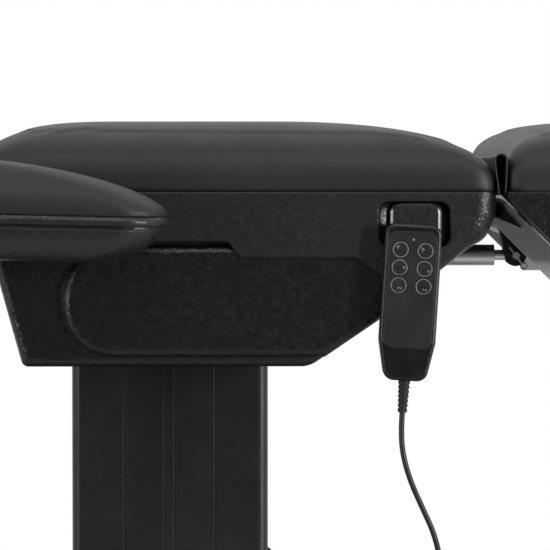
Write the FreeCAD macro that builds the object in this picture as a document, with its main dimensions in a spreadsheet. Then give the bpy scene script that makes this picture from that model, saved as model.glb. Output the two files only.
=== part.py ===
import FreeCAD, Part
import math
import operator
import os
from types import SimpleNamespace

import Sketcher

# Electric treatment chair in the flat position, millimetres.
# +X points to the foot end, +Y to the sitter's left, +Z up; the origin is on the floor under the column.

DRIVING_SIZES = {
    # travel
    "lift_down": 150, "lift_up": 110, "headrest_travel": 70,
    # floor unit
    "foot_radius": 25, "foot_height": 16, "foot_stud_radius": 5, "foot_stud_height": 24,
    "foot_inset_x": 50, "foot_inset_y": 40,
    "plate_length": 700, "plate_width": 480, "plate_thickness": 12, "plate_corner": 30,
    "cover_rim_x": 40, "cover_rim_y": 30, "cover_top": 84, "cover_gap": 8, "cover_wall": 4,
    "cover_shoulder": 46, "cover_corner": 60, "cover_post_x": 220, "cover_post_y": 140,
    "cover_post_radius": 8,
    "inlet_width": 28, "inlet_height": 24, "inlet_depth": 20, "inlet_lip": 4, "inlet_middle": 32,
    # lifting column
    "column_width": 220, "column_depth": 176, "column_corner": 11, "column_wall": 5,
    "sleeve_floor_gap": 11, "bridge_height": 42, "glide_room": 6, "glide_width": 60, "glide_height": 50,
    "groove_width": 2.4, "groove_depth": 1.2, "groove_near": 5.7, "groove_far": 51,
    "flange_thickness": 10, "flange_rim": 32, "bolt_radius": 5, "bolt_head": 9,
    "top_plate_thickness": 8, "top_plate_rim": 22,
    "lift_tube_radius": 18, "lift_ram_radius": 12.5, "lift_housing_height": 70,
    "lift_housing_x": 42, "lift_housing_y": 36, "lift_motor_x": 62, "lift_motor_radius": 20,
    "lift_motor_rise": 90,
    # seat
    "seat_top": 800, "seat_rear": 206, "seat_front": 351, "seat_width": 580, "seat_corner": 28,
    "cushion_height": 73, "pinch": 3, "tuck_height": 12,
    "seat_crown_front": 230, "seat_crown_rear": 140, "crown_side": 150,
    "board_thickness": 15, "board_rim": 32,
    # moulded seat shell
    "shell_depth": 187, "shell_wall": 4, "skirt_step": 4, "panel_step": 10,
    "shell_foot_rear": 154, "shell_foot_front": 152, "skirt_height": 52, "skirt_low_height": 69,
    "step_start": 65, "step_slope": 13, "step_end": 200, "skirt_round": 20, "step_round": 8,
    "tub_round": 10, "heel_round": 8, "foot_round": 30, "chin_round": 24, "lip_round": 30,
    "panel_rear": 111, "panel_lift": 11, "panel_height": 119, "panel_round": 56,
    "mechanism_opening": 430,
    "recess_width": 76, "recess_front_gap": 50, "recess_height": 49, "recess_depth": 24, "recess_drop": 10,
    "recess_corner": 12,
    "tongue_width": 46, "tongue_height": 42, "tongue_thickness": 4,
    # welded seat frame
    "rail_middle": 200, "rail_width": 30, "rail_height": 22,
    "bridge_middle": 75, "bridge_width": 30, "bridge_rear": 130, "bridge_front": 265,
    "cross_start": 5, "cross_end": 75, "front_cross_start": 235, "rear_cross_width": 30,
    "rear_cross_height": 12,
    "control_rear": 125, "control_front": 15, "control_half": 52, "control_height": 36,
    "lug_thickness": 8, "lug_inner": 184,
    "leg_hinge_reach": 7, "leg_hinge_drop": 22, "leg_hinge_eye": 13, "leg_hinge_pin": 6,
    "back_hinge_reach": 11, "back_hinge_rise": 18, "back_hinge_eye": 9.5, "back_hinge_pin": 5,
    # tilting actuators
    "leg_drive_y": 140, "leg_drive_x": 25, "leg_drive_drop": 78, "leg_rod_drop": 73, "leg_pin_reach": 24,
    "leg_tube_length": 260, "leg_rod_length": 150, "leg_rod_room": 6.5, "leg_rod_radius": 11.5,
    "back_drive_y": 150, "back_drive_x": 55, "back_drive_drop": 78.5, "back_rod_drop": 72,
    "back_pin_reach": 25,
    "back_tube_length": 220, "back_rod_length": 160, "back_rod_room": 10.5, "back_rod_radius": 11.5,
    "tube_wall": 3,
    "drive_pin": 5, "drive_eye": 12, "drive_eye_width": 18, "drive_cheek": 6,
    "drive_housing_width": 48, "drive_motor_radius": 22, "drive_motor_drop": 52,
    "clevis_pin": 4, "clevis_eye": 12, "clevis_plate": 5, "rod_eye_width": 12, "clevis_stub": 9,
    "split_wire": 1.1,
    # legrest
    "leg_length": 568, "leg_gap": 11, "leg_inset": 4, "leg_shell_depth": 79, "leg_toe_depth": 31,
    "leg_shell_round": 8, "leg_crown": 165, "leg_crown_rear": 200,
    "bar_width": 26, "bar_thickness": 8, "bar_length": 282, "leg_cross_radius": 11, "leg_cross_reach": 22,
    "cheek_thickness": 4, "cheek_eye": 8.5, "cheek_reach": 26.3, "cheek_fall": 19.5, "clevis_flare": 7,
    "flap_thickness": 1.6, "flap_height": 40.6, "flap_inset": 3, "flap_gap": 0.6,
    # backrest and headrest
    "back_crown": 145, "head_crown": 80, "head_top_drop": 3,
    "back_gap": 22, "back_length": 477, "back_shell_depth": 43, "back_arm_length": 272,
    "head_gap": 12, "head_length": 213, "head_width": 300, "head_shell_depth": 37,
    "post_radius": 6, "post_middle": 70, "post_drop": 27, "post_length": 247, "post_socket": 60,
    "guide_width": 24, "guide_length": 160,
    # armrests
    "arm_tail": 98, "arm_nose": 332, "arm_gap": 20, "arm_width": 110, "arm_drop": 15.5, "arm_tilt": 1.4,
    "arm_pad_height": 57, "arm_pinch": 2, "arm_tuck_height": 5, "arm_crown_front": 220,
    "arm_crown_rear": 130, "arm_crown_side": 46, "arm_shell_depth": 49, "arm_band": 10, "arm_groove": 3.5,
    "arm_pivot_reach": 102, "arm_pivot_drop": 27, "arm_bolt_radius": 8, "arm_bolt_reach": 36,
    "bracket_width": 40, "bracket_thickness": 8,
    # handset
    "handset_shift": 6.4, "handset_drop": 116.3, "handset_lean": 3.5,
    "handset_width": 60, "handset_length": 166, "handset_thickness": 24, "handset_taper": 41,
    "handset_chin": 8,
    "handset_round": 12, "panel_width": 51, "panel_length": 122.5, "panel_top_rim": 8, "panel_thickness": 1.2,
    "key_radius": 8.45, "key_pitch_x": 26.4, "key_pitch_z": 18.8, "key_first": 27.7, "key_proud": 0.7,
    "key_cap": 2, "key_depth": 3, "key_travel": 0.6, "lamp_radius": 1.2, "lamp_drop": 16.4,
    "relief_top": 6.4, "relief_bottom": 4.9, "relief_length": 34, "relief_rib": 0.8,
    "cord_diameter": 6, "gland_x": 10, "gland_y": 145, "gland_radius": 9, "gland_length": 22,
    # fits
    "running_gap": 0.05, "soft_gap": 0.3, "key_gap": 0.2,
}

RELIEF_RIBS = 6
CROWN_STEPS = 10
# How square each padded edge looks from the side: 2 is an ellipse, more is squarer.
TIGHT_EDGE = 3.6
FULL_EDGE = 3.0
SOFT_EDGE = 2.7
WORN_EDGE = 2.3
ROUND_EDGE = 1.9
SLOPED_EDGE = 1.63
OPERATIONS = {"+": operator.add, "-": operator.sub, "*": operator.mul, "/": operator.truediv}
CYLINDER_TURNS = {
    "X": FreeCAD.Rotation(FreeCAD.Vector(0, 1, 0), 90),
    "Y": FreeCAD.Rotation(FreeCAD.Vector(1, 0, 0), -90),
    "Z": FreeCAD.Rotation(),
}


class Size:
    """A length: its value, and the expression that gives it from the sheet."""

    def __init__(self, number, text):
        self.number = number
        self.text = text

    def __add__(self, other):
        return combine(self, "+", other)

    def __radd__(self, other):
        return combine(other, "+", self)

    def __sub__(self, other):
        return combine(self, "-", other)

    def __rsub__(self, other):
        return combine(other, "-", self)

    def __mul__(self, other):
        return combine(self, "*", other)

    def __rmul__(self, other):
        return combine(other, "*", self)

    def __truediv__(self, other):
        return combine(self, "/", other)

    def __neg__(self):
        return combine(0, "-", self)


def as_size(value):
    return value if isinstance(value, Size) else Size(float(value), f"({float(value)!r})")


def combine(left, sign, right):
    left, right = as_size(left), as_size(right)
    return Size(OPERATIONS[sign](left.number, right.number), f"({left.text} {sign} {right.text})")


def mm(value):
    return as_size(value).number


doc = FreeCAD.newDocument("TreatmentChair")
sheet = doc.addObject("Spreadsheet::Sheet", "Sizes")
for row, (alias, value) in enumerate(DRIVING_SIZES.items(), start=1):
    sheet.set(f"A{row}", alias)
    sheet.set(f"B{row}", str(value))
    sheet.setAlias(f"B{row}", alias)
doc.recompute()
dim = SimpleNamespace(**{alias: Size(sheet.get(alias), f"Sizes.{alias}") for alias in DRIVING_SIZES})
pieces = []


def bind(thing, path, value):
    thing.setExpression(path, as_size(value).text)


def piece(thing, label):
    """Give a finished sub-part the name that a person would use for it."""
    thing.Label = label
    pieces.append(thing)
    return thing


def place(thing, x=0, y=0, z=0):
    for axis, value in zip("xyz", (x, y, z)):
        bind(thing, f"Placement.Base.{axis}", value)
    return thing


def box(name, x, y, z):
    """A block between two corners, each side given as (low, high)."""
    thing = doc.addObject("Part::Box", name)
    for side, (low, high) in zip(("Length", "Width", "Height"), (x, y, z)):
        bind(thing, side, high - low if isinstance(high, Size) else as_size(high) - low)
    return place(thing, x[0], y[0], z[0])


def rod(name, axis, start, length, radius):
    """A cylinder that runs from its start point along X, Y or Z."""
    thing = doc.addObject("Part::Cylinder", name)
    thing.Placement = FreeCAD.Placement(FreeCAD.Vector(), CYLINDER_TURNS[axis])
    bind(thing, "Radius", radius)
    bind(thing, "Height", length)
    return place(thing, *start)


def pin_across(name, x, z, middle_y, width, radius):
    """A cylinder along Y, centred on middle_y."""
    return rod(name, "Y", (x, middle_y - as_size(width) / 2, z), width, radius)


def fuse(name, parts):
    thing = doc.addObject("Part::MultiFuse", name)
    thing.Shapes = parts
    return thing


def cut(name, base, tools):
    thing = doc.addObject("Part::Cut", name)
    thing.Base = base
    thing.Tool = tools[0] if len(tools) == 1 else fuse(name + "_tools", tools)
    return thing


def new_body(name):
    return doc.addObject("PartDesign::Body", name)


def new_sketch(body, name, role):
    sketch = body.newObject("Sketcher::SketchObject", name)
    plane = [feature for feature in body.Origin.OriginFeatures if feature.Role == role][0]
    sketch.AttachmentSupport = [(plane, "")]
    sketch.MapMode = "FlatFace"
    return sketch


def draw_polygon(sketch, points):
    """A closed outline, each corner held to the origin by two bound distances."""
    count = len(points)
    corners = [FreeCAD.Vector(mm(across), mm(up), 0) for across, up in points]
    for index in range(count):
        sketch.addGeometry(Part.LineSegment(corners[index], corners[(index + 1) % count]))
    joins = [Sketcher.Constraint("Coincident", index, 2, (index + 1) % count, 1) for index in range(count)]
    sketch.addConstraint(joins)
    for index, (across, up) in enumerate(points):
        for kind, value in (("DistanceX", across), ("DistanceY", up)):
            number = sketch.addConstraint(Sketcher.Constraint(kind, -1, 1, index, 1, mm(value)))
            bind(sketch, f"Constraints[{number}]", value)


def draw_rounded_rectangle(sketch, x_low, x_high, y_half, corner):
    """Four sides and four quarter arcs, symmetric about the X axis."""
    left, right, half, radius = mm(x_low), mm(x_high), mm(y_half), mm(corner)
    centres = [(left + radius, -half + radius), (right - radius, -half + radius),
               (right - radius, half - radius), (left + radius, half - radius)]
    starts = [math.pi, 1.5 * math.pi, 0, 0.5 * math.pi]
    for (centre_x, centre_y), start in zip(centres, starts):
        circle = Part.Circle(FreeCAD.Vector(centre_x, centre_y, 0), FreeCAD.Vector(0, 0, 1), radius)
        sketch.addGeometry(Part.ArcOfCircle(circle, start, start + math.pi / 2))
    ends = [(left + radius, -half, right - radius, -half), (right, -half + radius, right, half - radius),
            (right - radius, half, left + radius, half), (left, half - radius, left, -half + radius)]
    for x_start, y_start, x_end, y_end in ends:
        start, end = FreeCAD.Vector(x_start, y_start, 0), FreeCAD.Vector(x_end, y_end, 0)
        sketch.addGeometry(Part.LineSegment(start, end))
    for side in range(4):
        sketch.addConstraint(Sketcher.Constraint("Tangent", side, 2, 4 + side, 1))
        sketch.addConstraint(Sketcher.Constraint("Tangent", 4 + side, 2, (side + 1) % 4, 1))
    for side in range(3):
        sketch.addConstraint(Sketcher.Constraint("Equal", side, side + 1))
    sketch.addConstraint(Sketcher.Constraint("Horizontal", 4))
    sizes = [("Radius", (0,), corner),
             ("DistanceX", (-1, 1, 7, 1), x_low), ("DistanceX", (-1, 1, 5, 1), x_high),
             ("DistanceY", (-1, 1, 4, 1), -as_size(y_half)), ("DistanceY", (-1, 1, 6, 1), y_half)]
    for kind, where, value in sizes:
        number = sketch.addConstraint(Sketcher.Constraint(kind, *where, mm(value)))
        bind(sketch, f"Constraints[{number}]", value)


def pad(body, sketch, name, length, symmetric):
    feature = body.newObject("PartDesign::Pad", name)
    feature.Profile = sketch
    if symmetric:
        feature.SideType = "Symmetric"
    bind(feature, "Length", length)
    return feature


def round_edges(body, name, radius, chosen):
    """Fillet those edges of the body's last feature that the test picks."""
    doc.recompute()
    tip = body.Tip
    names = [f"Edge{number}" for number, edge in enumerate(tip.Shape.Edges, start=1) if chosen(edge)]
    feature = body.newObject("PartDesign::Fillet", name)
    feature.Base = (tip, names)
    bind(feature, "Radius", radius)
    return feature


def round_corners(body, name, rounds):
    """Round the edges across the chair at the given corners of a side outline."""
    for tag, (x, z), radius in rounds:
        def at_corner(edge, x=mm(x), z=mm(z)):
            point = edge.Vertexes[0].Point
            return spans(edge, "Y") and abs(point.x - x) < 1e-4 and abs(point.z - z) < 1e-4

        round_edges(body, f"{name}_{tag}", radius, at_corner)


def spans(edge, axis):
    """True for a straight edge that runs along one axis."""
    first, last = edge.Vertexes[0].Point, edge.Vertexes[-1].Point
    moved = [abs(a - b) > 1e-6 for a, b in zip(first, last)]
    return moved == [letter == axis for letter in "XYZ"]


def on_sides(half):
    """Test for edges that lie on one of the two outer side faces of a symmetric pad."""
    return lambda edge: abs(abs(edge.CenterOfMass.y) - half) < 1e-6


def side_body(name, points, y):
    """A plate or block with the given outline in the XZ plane, between two Y values."""
    body = new_body(name)
    sketch = new_sketch(body, name + "_outline", "XZ_Plane")
    draw_polygon(sketch, points)
    pad(body, sketch, name + "_pad", as_size(y[1]) - y[0], True)
    return place(body, 0, (as_size(y[0]) + y[1]) / 2, 0)


def box_tube(name, half_x, half_y, corner, wall, z):
    """A square extrusion with rounded corners."""
    body = new_body(name)
    outer = new_sketch(body, name + "_outer", "XY_Plane")
    draw_rounded_rectangle(outer, -half_x, half_x, half_y, corner)
    pad(body, outer, name + "_pad", z[1] - z[0], False)
    inner = new_sketch(body, name + "_inner", "XY_Plane")
    draw_rounded_rectangle(inner, wall - half_x, half_x - wall, half_y - wall, corner - wall)
    bore = body.newObject("PartDesign::Pocket", name + "_bore")
    bore.Profile = inner
    bore.Type = "ThroughAll"
    bore.SideType = "Symmetric"
    return place(body, 0, 0, z[0])


def loft_body(name, sections, ruled=False):
    """A form lofted through level rounded rectangles: (z, x_low, x_high, y_half, corner)."""
    body = new_body(name)
    sketches = []
    for index, (level, x_low, x_high, y_half, corner) in enumerate(sections):
        sketch = new_sketch(body, f"{name}_section{index}", "XY_Plane")
        bind(sketch, "AttachmentOffset.Base.z", level)
        draw_rounded_rectangle(sketch, x_low, x_high, y_half, corner)
        sketches.append(sketch)
    loft = body.newObject("PartDesign::AdditiveLoft", name + "_loft")
    loft.Profile = sketches[0]
    loft.Sections = sketches[1:]
    loft.Ruled = ruled
    return body


def crown_inset(rise, reach, power):
    """How far a padded edge has drawn in at a share of its rise: upright at the seam, level on top."""
    return reach * (1 - (1 - rise ** power) ** (1 / power))


def crowned(name, low, outline, height, tuck, low_edge, high_edge, side_edge):
    """A padded form on the outline (x_low, x_high, y_half, corner); each edge is given as (reach, power).

    Its sides are drawn in at the seam and reach the outline at the tuck's height, where the crown starts."""
    x_low, x_high, y_half, corner = outline
    pinch, tuck_height = tuck
    sections = [(low, x_low + pinch, x_high - pinch, y_half - pinch, corner),
                (low + tuck_height, x_low, x_high, y_half, corner)]
    for step in range(1, CROWN_STEPS + 1):
        rise = 1 - (1 - step / CROWN_STEPS) ** 2
        at_low, at_high, at_sides = (crown_inset(rise, *edge) for edge in (low_edge, high_edge, side_edge))
        room = y_half - at_sides
        half_length = (x_high - at_high - x_low - at_low) / 2
        radius = min(corner + at_sides * 0.6, room - 2, half_length - 2, key=mm)
        sections.append((low + tuck_height + (height - tuck_height) * rise, x_low + at_low, x_high - at_high,
                         room, radius))
    return loft_body(name, sections, True)


# Levels and faces that several pieces share.
seam = dim.seat_top - dim.cushion_height
board_bottom = seam - dim.board_thickness
rail_bottom = board_bottom - dim.rail_height
bridge_bottom = rail_bottom - dim.bridge_height
sleeve_top = bridge_bottom - dim.top_plate_thickness
sleeve_bottom = dim.cover_top + dim.sleeve_floor_gap + dim.lift_down
shell_bottom = seam - dim.shell_depth
half_width = dim.seat_width / 2
plate_top = dim.foot_height + dim.plate_thickness
flange_top = plate_top + dim.flange_thickness
inner_half_x = dim.column_width / 2 - dim.column_wall - dim.glide_room
inner_half_y = dim.column_depth / 2 - dim.column_wall - dim.glide_room
inner_top = sleeve_top - dim.lift_down - 10
bar_inner = dim.lug_inner + dim.lug_thickness + 1
bar_outer = bar_inner + dim.bar_thickness

cushion_tuck = (dim.pinch, dim.tuck_height)

# Hinges and clevis pins.
leg_hinge_x = dim.seat_front + dim.leg_hinge_reach
leg_hinge_z = seam - dim.leg_hinge_drop
back_hinge_x = dim.seat_rear + dim.back_hinge_reach
back_hinge_z = seam + dim.back_hinge_rise
leg_pin_x = leg_hinge_x + dim.leg_pin_reach
leg_rod_z = seam - dim.leg_rod_drop
leg_drive_z = seam - dim.leg_drive_drop
back_pin_x = back_hinge_x - dim.back_pin_reach
back_rod_z = seam - dim.back_rod_drop
back_drive_z = seam - dim.back_drive_drop

# Ends of the sections; distances towards -X are counted as positive from the column.
leg_front = dim.seat_front + dim.leg_gap + dim.leg_length
back_front = dim.seat_rear + dim.back_gap
back_rear = back_front + dim.back_length
back_arm_end = back_front + dim.back_arm_length
guide_end = back_arm_end + dim.guide_length
head_front = back_rear + dim.head_gap
head_rear = head_front + dim.head_length
post_height = seam - dim.post_drop
arm_inner = half_width + dim.arm_gap
arm_seam = seam - dim.arm_drop
arm_pivot_x = back_front + dim.arm_pivot_reach
arm_pivot_z = arm_seam - dim.arm_pivot_drop
recess_right = dim.seat_front - dim.recess_front_gap
recess_left = recess_right - dim.recess_width
handset_x = recess_left + dim.recess_width / 2 - dim.handset_shift
handset_y = half_width + dim.handset_thickness / 2
handset_z = seam - dim.handset_drop


def build_floor_unit():
    feet = []
    studs = []
    for across in (-1, 1):
        for along in (-1, 1):
            x = (dim.plate_length / 2 - dim.foot_inset_x) * along
            y = (dim.plate_width / 2 - dim.foot_inset_y) * across
            tag = f"foot_{along + 1}{across + 1}"
            pad_height = dim.foot_height * 0.6
            disc = rod(tag + "_disc", "Z", (x, y, 0), pad_height, dim.foot_radius)
            neck = doc.addObject("Part::Cone", tag + "_neck")
            bind(neck, "Radius1", dim.foot_radius * 0.6)
            bind(neck, "Radius2", dim.foot_stud_radius * 1.8)
            bind(neck, "Height", dim.foot_height - pad_height)
            place(neck, x, y, pad_height)
            stud = rod(tag + "_stud", "Z", (x, y, dim.foot_height), dim.foot_stud_height,
                       dim.foot_stud_radius)
            feet.append(fuse(tag, [disc, neck, stud]))
            studs.append(rod(tag + "_hole", "Z", (x, y, dim.foot_height - 1), dim.plate_thickness + 2,
                             dim.foot_stud_radius + dim.running_gap))
    piece(fuse("feet", feet), "levelling_feet")

    bolts = []
    holes = []
    for across in (-1, 1):
        for along in (-1, 1):
            x = (inner_half_x + dim.flange_rim / 2) * along
            y = (inner_half_y + dim.flange_rim / 2) * across
            tag = f"bolt_{along + 1}{across + 1}"
            shank = rod(tag + "_shank", "Z", (x, y, dim.foot_height), flange_top - dim.foot_height,
                        dim.bolt_radius)
            head = doc.addObject("Part::Prism", tag + "_head")
            head.Polygon = 6
            bind(head, "Circumradius", dim.bolt_head)
            bind(head, "Height", dim.bolt_head * 0.7)
            place(head, x, y, flange_top)
            bolts.append(fuse(tag, [shank, head]))
            holes.append(rod(tag + "_hole", "Z", (x, y, dim.foot_height - 1),
                             dim.plate_thickness + dim.flange_thickness + 2,
                             dim.bolt_radius + dim.running_gap))
    piece(fuse("bolts", bolts), "column_bolts")

    plate = loft_body("plate", [(dim.foot_height, -dim.plate_length / 2, dim.plate_length / 2,
                                 dim.plate_width / 2, dim.plate_corner),
                                (plate_top, -dim.plate_length / 2, dim.plate_length / 2,
                                 dim.plate_width / 2, dim.plate_corner)], True)
    piece(cut("plate_drilled", plate, studs + holes), "base_plate")

    half_x, half_y = dim.plate_length / 2 + dim.cover_rim_x, dim.plate_width / 2 + dim.cover_rim_y
    corner, wall = dim.cover_corner, dim.cover_wall
    levels = [(dim.cover_gap, 0), (dim.cover_shoulder, 0), (dim.cover_top - 12, 44), (dim.cover_top, 84)]
    outer = loft_body("cover_outer", [(level, inset - half_x, half_x - inset, half_y - inset, corner)
                                      for level, inset in levels], True)
    inner = loft_body("cover_inner", [(level - wall, inset + wall - half_x, half_x - wall - inset,
                                       half_y - wall - inset, corner - wall)
                                      for level, inset in levels], True)
    throat = box("cover_throat", (-inner_half_x - 3, inner_half_x + 3), (-inner_half_y - 3, inner_half_y + 3),
                 (dim.cover_top - 20, dim.cover_top + 5))
    inlet_low = dim.inlet_middle - dim.inlet_height / 2
    inlet_high = dim.inlet_middle + dim.inlet_height / 2
    half_inlet = dim.inlet_width / 2
    window = box("cover_window", (-half_x - 1, wall + 6 - half_x),
                 (-half_inlet - dim.key_gap, half_inlet + dim.key_gap),
                 (inlet_low - dim.key_gap, inlet_high + dim.key_gap))
    posts = []
    for across in (-1, 1):
        for along in (-1, 1):
            posts.append(rod(f"cover_post_{along + 1}{across + 1}", "Z",
                             (dim.cover_post_x * along, dim.cover_post_y * across, plate_top),
                             dim.cover_top - wall - plate_top + 1, dim.cover_post_radius))
    piece(fuse("cover", [cut("cover_hollow", outer, [inner, throat, window])] + posts), "base_cover")

    lip = box("inlet_flange", (-half_x - 2, -half_x),
              (-half_inlet - dim.inlet_lip, half_inlet + dim.inlet_lip),
              (inlet_low - dim.inlet_lip, inlet_high + dim.inlet_lip))
    core = box("inlet_core", (-half_x, dim.inlet_depth - half_x), (-half_inlet, half_inlet),
               (inlet_low, inlet_high))
    well = box("inlet_well", (-half_x - 3, dim.inlet_depth - half_x - 5),
               (3 - half_inlet, half_inlet - 3), (inlet_low + 3, inlet_high - 3))
    blades = [box(f"inlet_blade{number}", (5 - half_x, dim.inlet_depth - half_x - 5),
                  (offset - 1, offset + 1), (dim.inlet_middle + rise - 2, dim.inlet_middle + rise + 2))
              for number, (offset, rise) in enumerate(((-7, -2), (0, 3), (7, -2)))]
    socket = cut("inlet_socket", fuse("inlet_block", [lip, core]), [well])
    piece(fuse("inlet", [socket] + blades), "power_inlet")
    return holes


def build_column(flange_holes):
    half_x, half_y = dim.column_width / 2, dim.column_depth / 2
    tube = box_tube("inner_tube", inner_half_x, inner_half_y, dim.column_corner - 3, dim.column_wall,
                    (flange_top, inner_top))
    flange = box("inner_flange", (-inner_half_x - dim.flange_rim, inner_half_x + dim.flange_rim),
                 (-inner_half_y - dim.flange_rim, inner_half_y + dim.flange_rim), (plate_top, flange_top))
    drilled = cut("inner_flange_drilled", flange, [fuse("flange_holes", flange_holes)])
    piece(fuse("inner", [tube, drilled]), "column_inner")

    glide = dim.glide_room - dim.soft_gap
    low, high = inner_top - dim.glide_height, inner_top
    half_glide = dim.glide_width / 2
    pads = []
    for sign, tag in ((-1, "low"), (1, "high")):
        x_faces = sorted((inner_half_x * sign, (inner_half_x + glide) * sign), key=mm)
        y_faces = sorted((inner_half_y * sign, (inner_half_y + glide) * sign), key=mm)
        pads.append(box(f"glide_x_{tag}", x_faces, (-half_glide, half_glide), (low, high)))
        pads.append(box(f"glide_y_{tag}", (-half_glide, half_glide), y_faces, (low, high)))
    piece(fuse("glides", pads), "column_glides")

    sleeve = box_tube("sleeve", half_x, half_y, dim.column_corner, dim.column_wall,
                      (sleeve_bottom, sleeve_top))
    grooves = []
    for place_x in (-dim.groove_far, -dim.groove_near, dim.groove_near, dim.groove_far):
        for sign in (-1, 1):
            faces = sorted(((half_y - dim.groove_depth) * sign, (half_y + 1) * sign), key=mm)
            sides = (place_x - dim.groove_width / 2, place_x + dim.groove_width / 2)
            grooves.append(box(f"groove_{len(grooves)}", sides, faces, (sleeve_bottom - 1, sleeve_top + 1)))
    piece(cut("sleeve_grooved", sleeve, grooves), "column_sleeve")

    rim = dim.top_plate_rim
    piece(box("top_plate", (-half_x - rim, half_x + rim), (-half_y - rim / 2, half_y + rim / 2),
              (sleeve_top, bridge_bottom)), "column_top_plate")

    housing_top = flange_top + dim.lift_housing_height
    tube_top = inner_top - 30
    housing = box("lift_housing", (-dim.lift_housing_x, dim.lift_housing_x),
                  (-dim.lift_housing_y, dim.lift_housing_y), (flange_top, housing_top))
    motor = rod("lift_motor", "Z", (dim.lift_motor_x, 0, flange_top),
                dim.lift_housing_height + dim.lift_motor_rise, dim.lift_motor_radius)
    bridge = box("lift_motor_link", (40, dim.lift_motor_x), (-16, 16), (flange_top, housing_top - 10))
    tube = rod("lift_tube", "Z", (0, 0, housing_top), tube_top - housing_top, dim.lift_tube_radius)
    bore = rod("lift_bore", "Z", (0, 0, housing_top + 8), tube_top - housing_top,
               dim.lift_ram_radius + dim.soft_gap)
    piece(cut("lift_drive", fuse("lift_body", [housing, bridge, motor, tube]), [bore]), "lift_actuator")
    ram_bottom = housing_top + 12 + dim.lift_down
    piece(rod("ram", "Z", (0, 0, ram_bottom), sleeve_top - ram_bottom, dim.lift_ram_radius), "lift_ram")


def shell_front(depth):
    """Front edge of the seat shell from its foot up to the seam, drawn in by the wall depth."""
    inset = as_size(depth)
    return [(dim.shell_foot_front - inset * 0.4, shell_bottom + inset),
            (dim.shell_foot_front + 72 - inset * 0.4, shell_bottom + 49 + inset),
            (dim.seat_front - 29 - inset * 0.4, seam - 60 + inset),
            (dim.seat_front - 11 - inset, seam - 50 + inset * 0.8),
            (dim.seat_front - 1 - inset, seam - 25),
            (dim.seat_front - inset, seam + inset * 0.25)]


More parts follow.
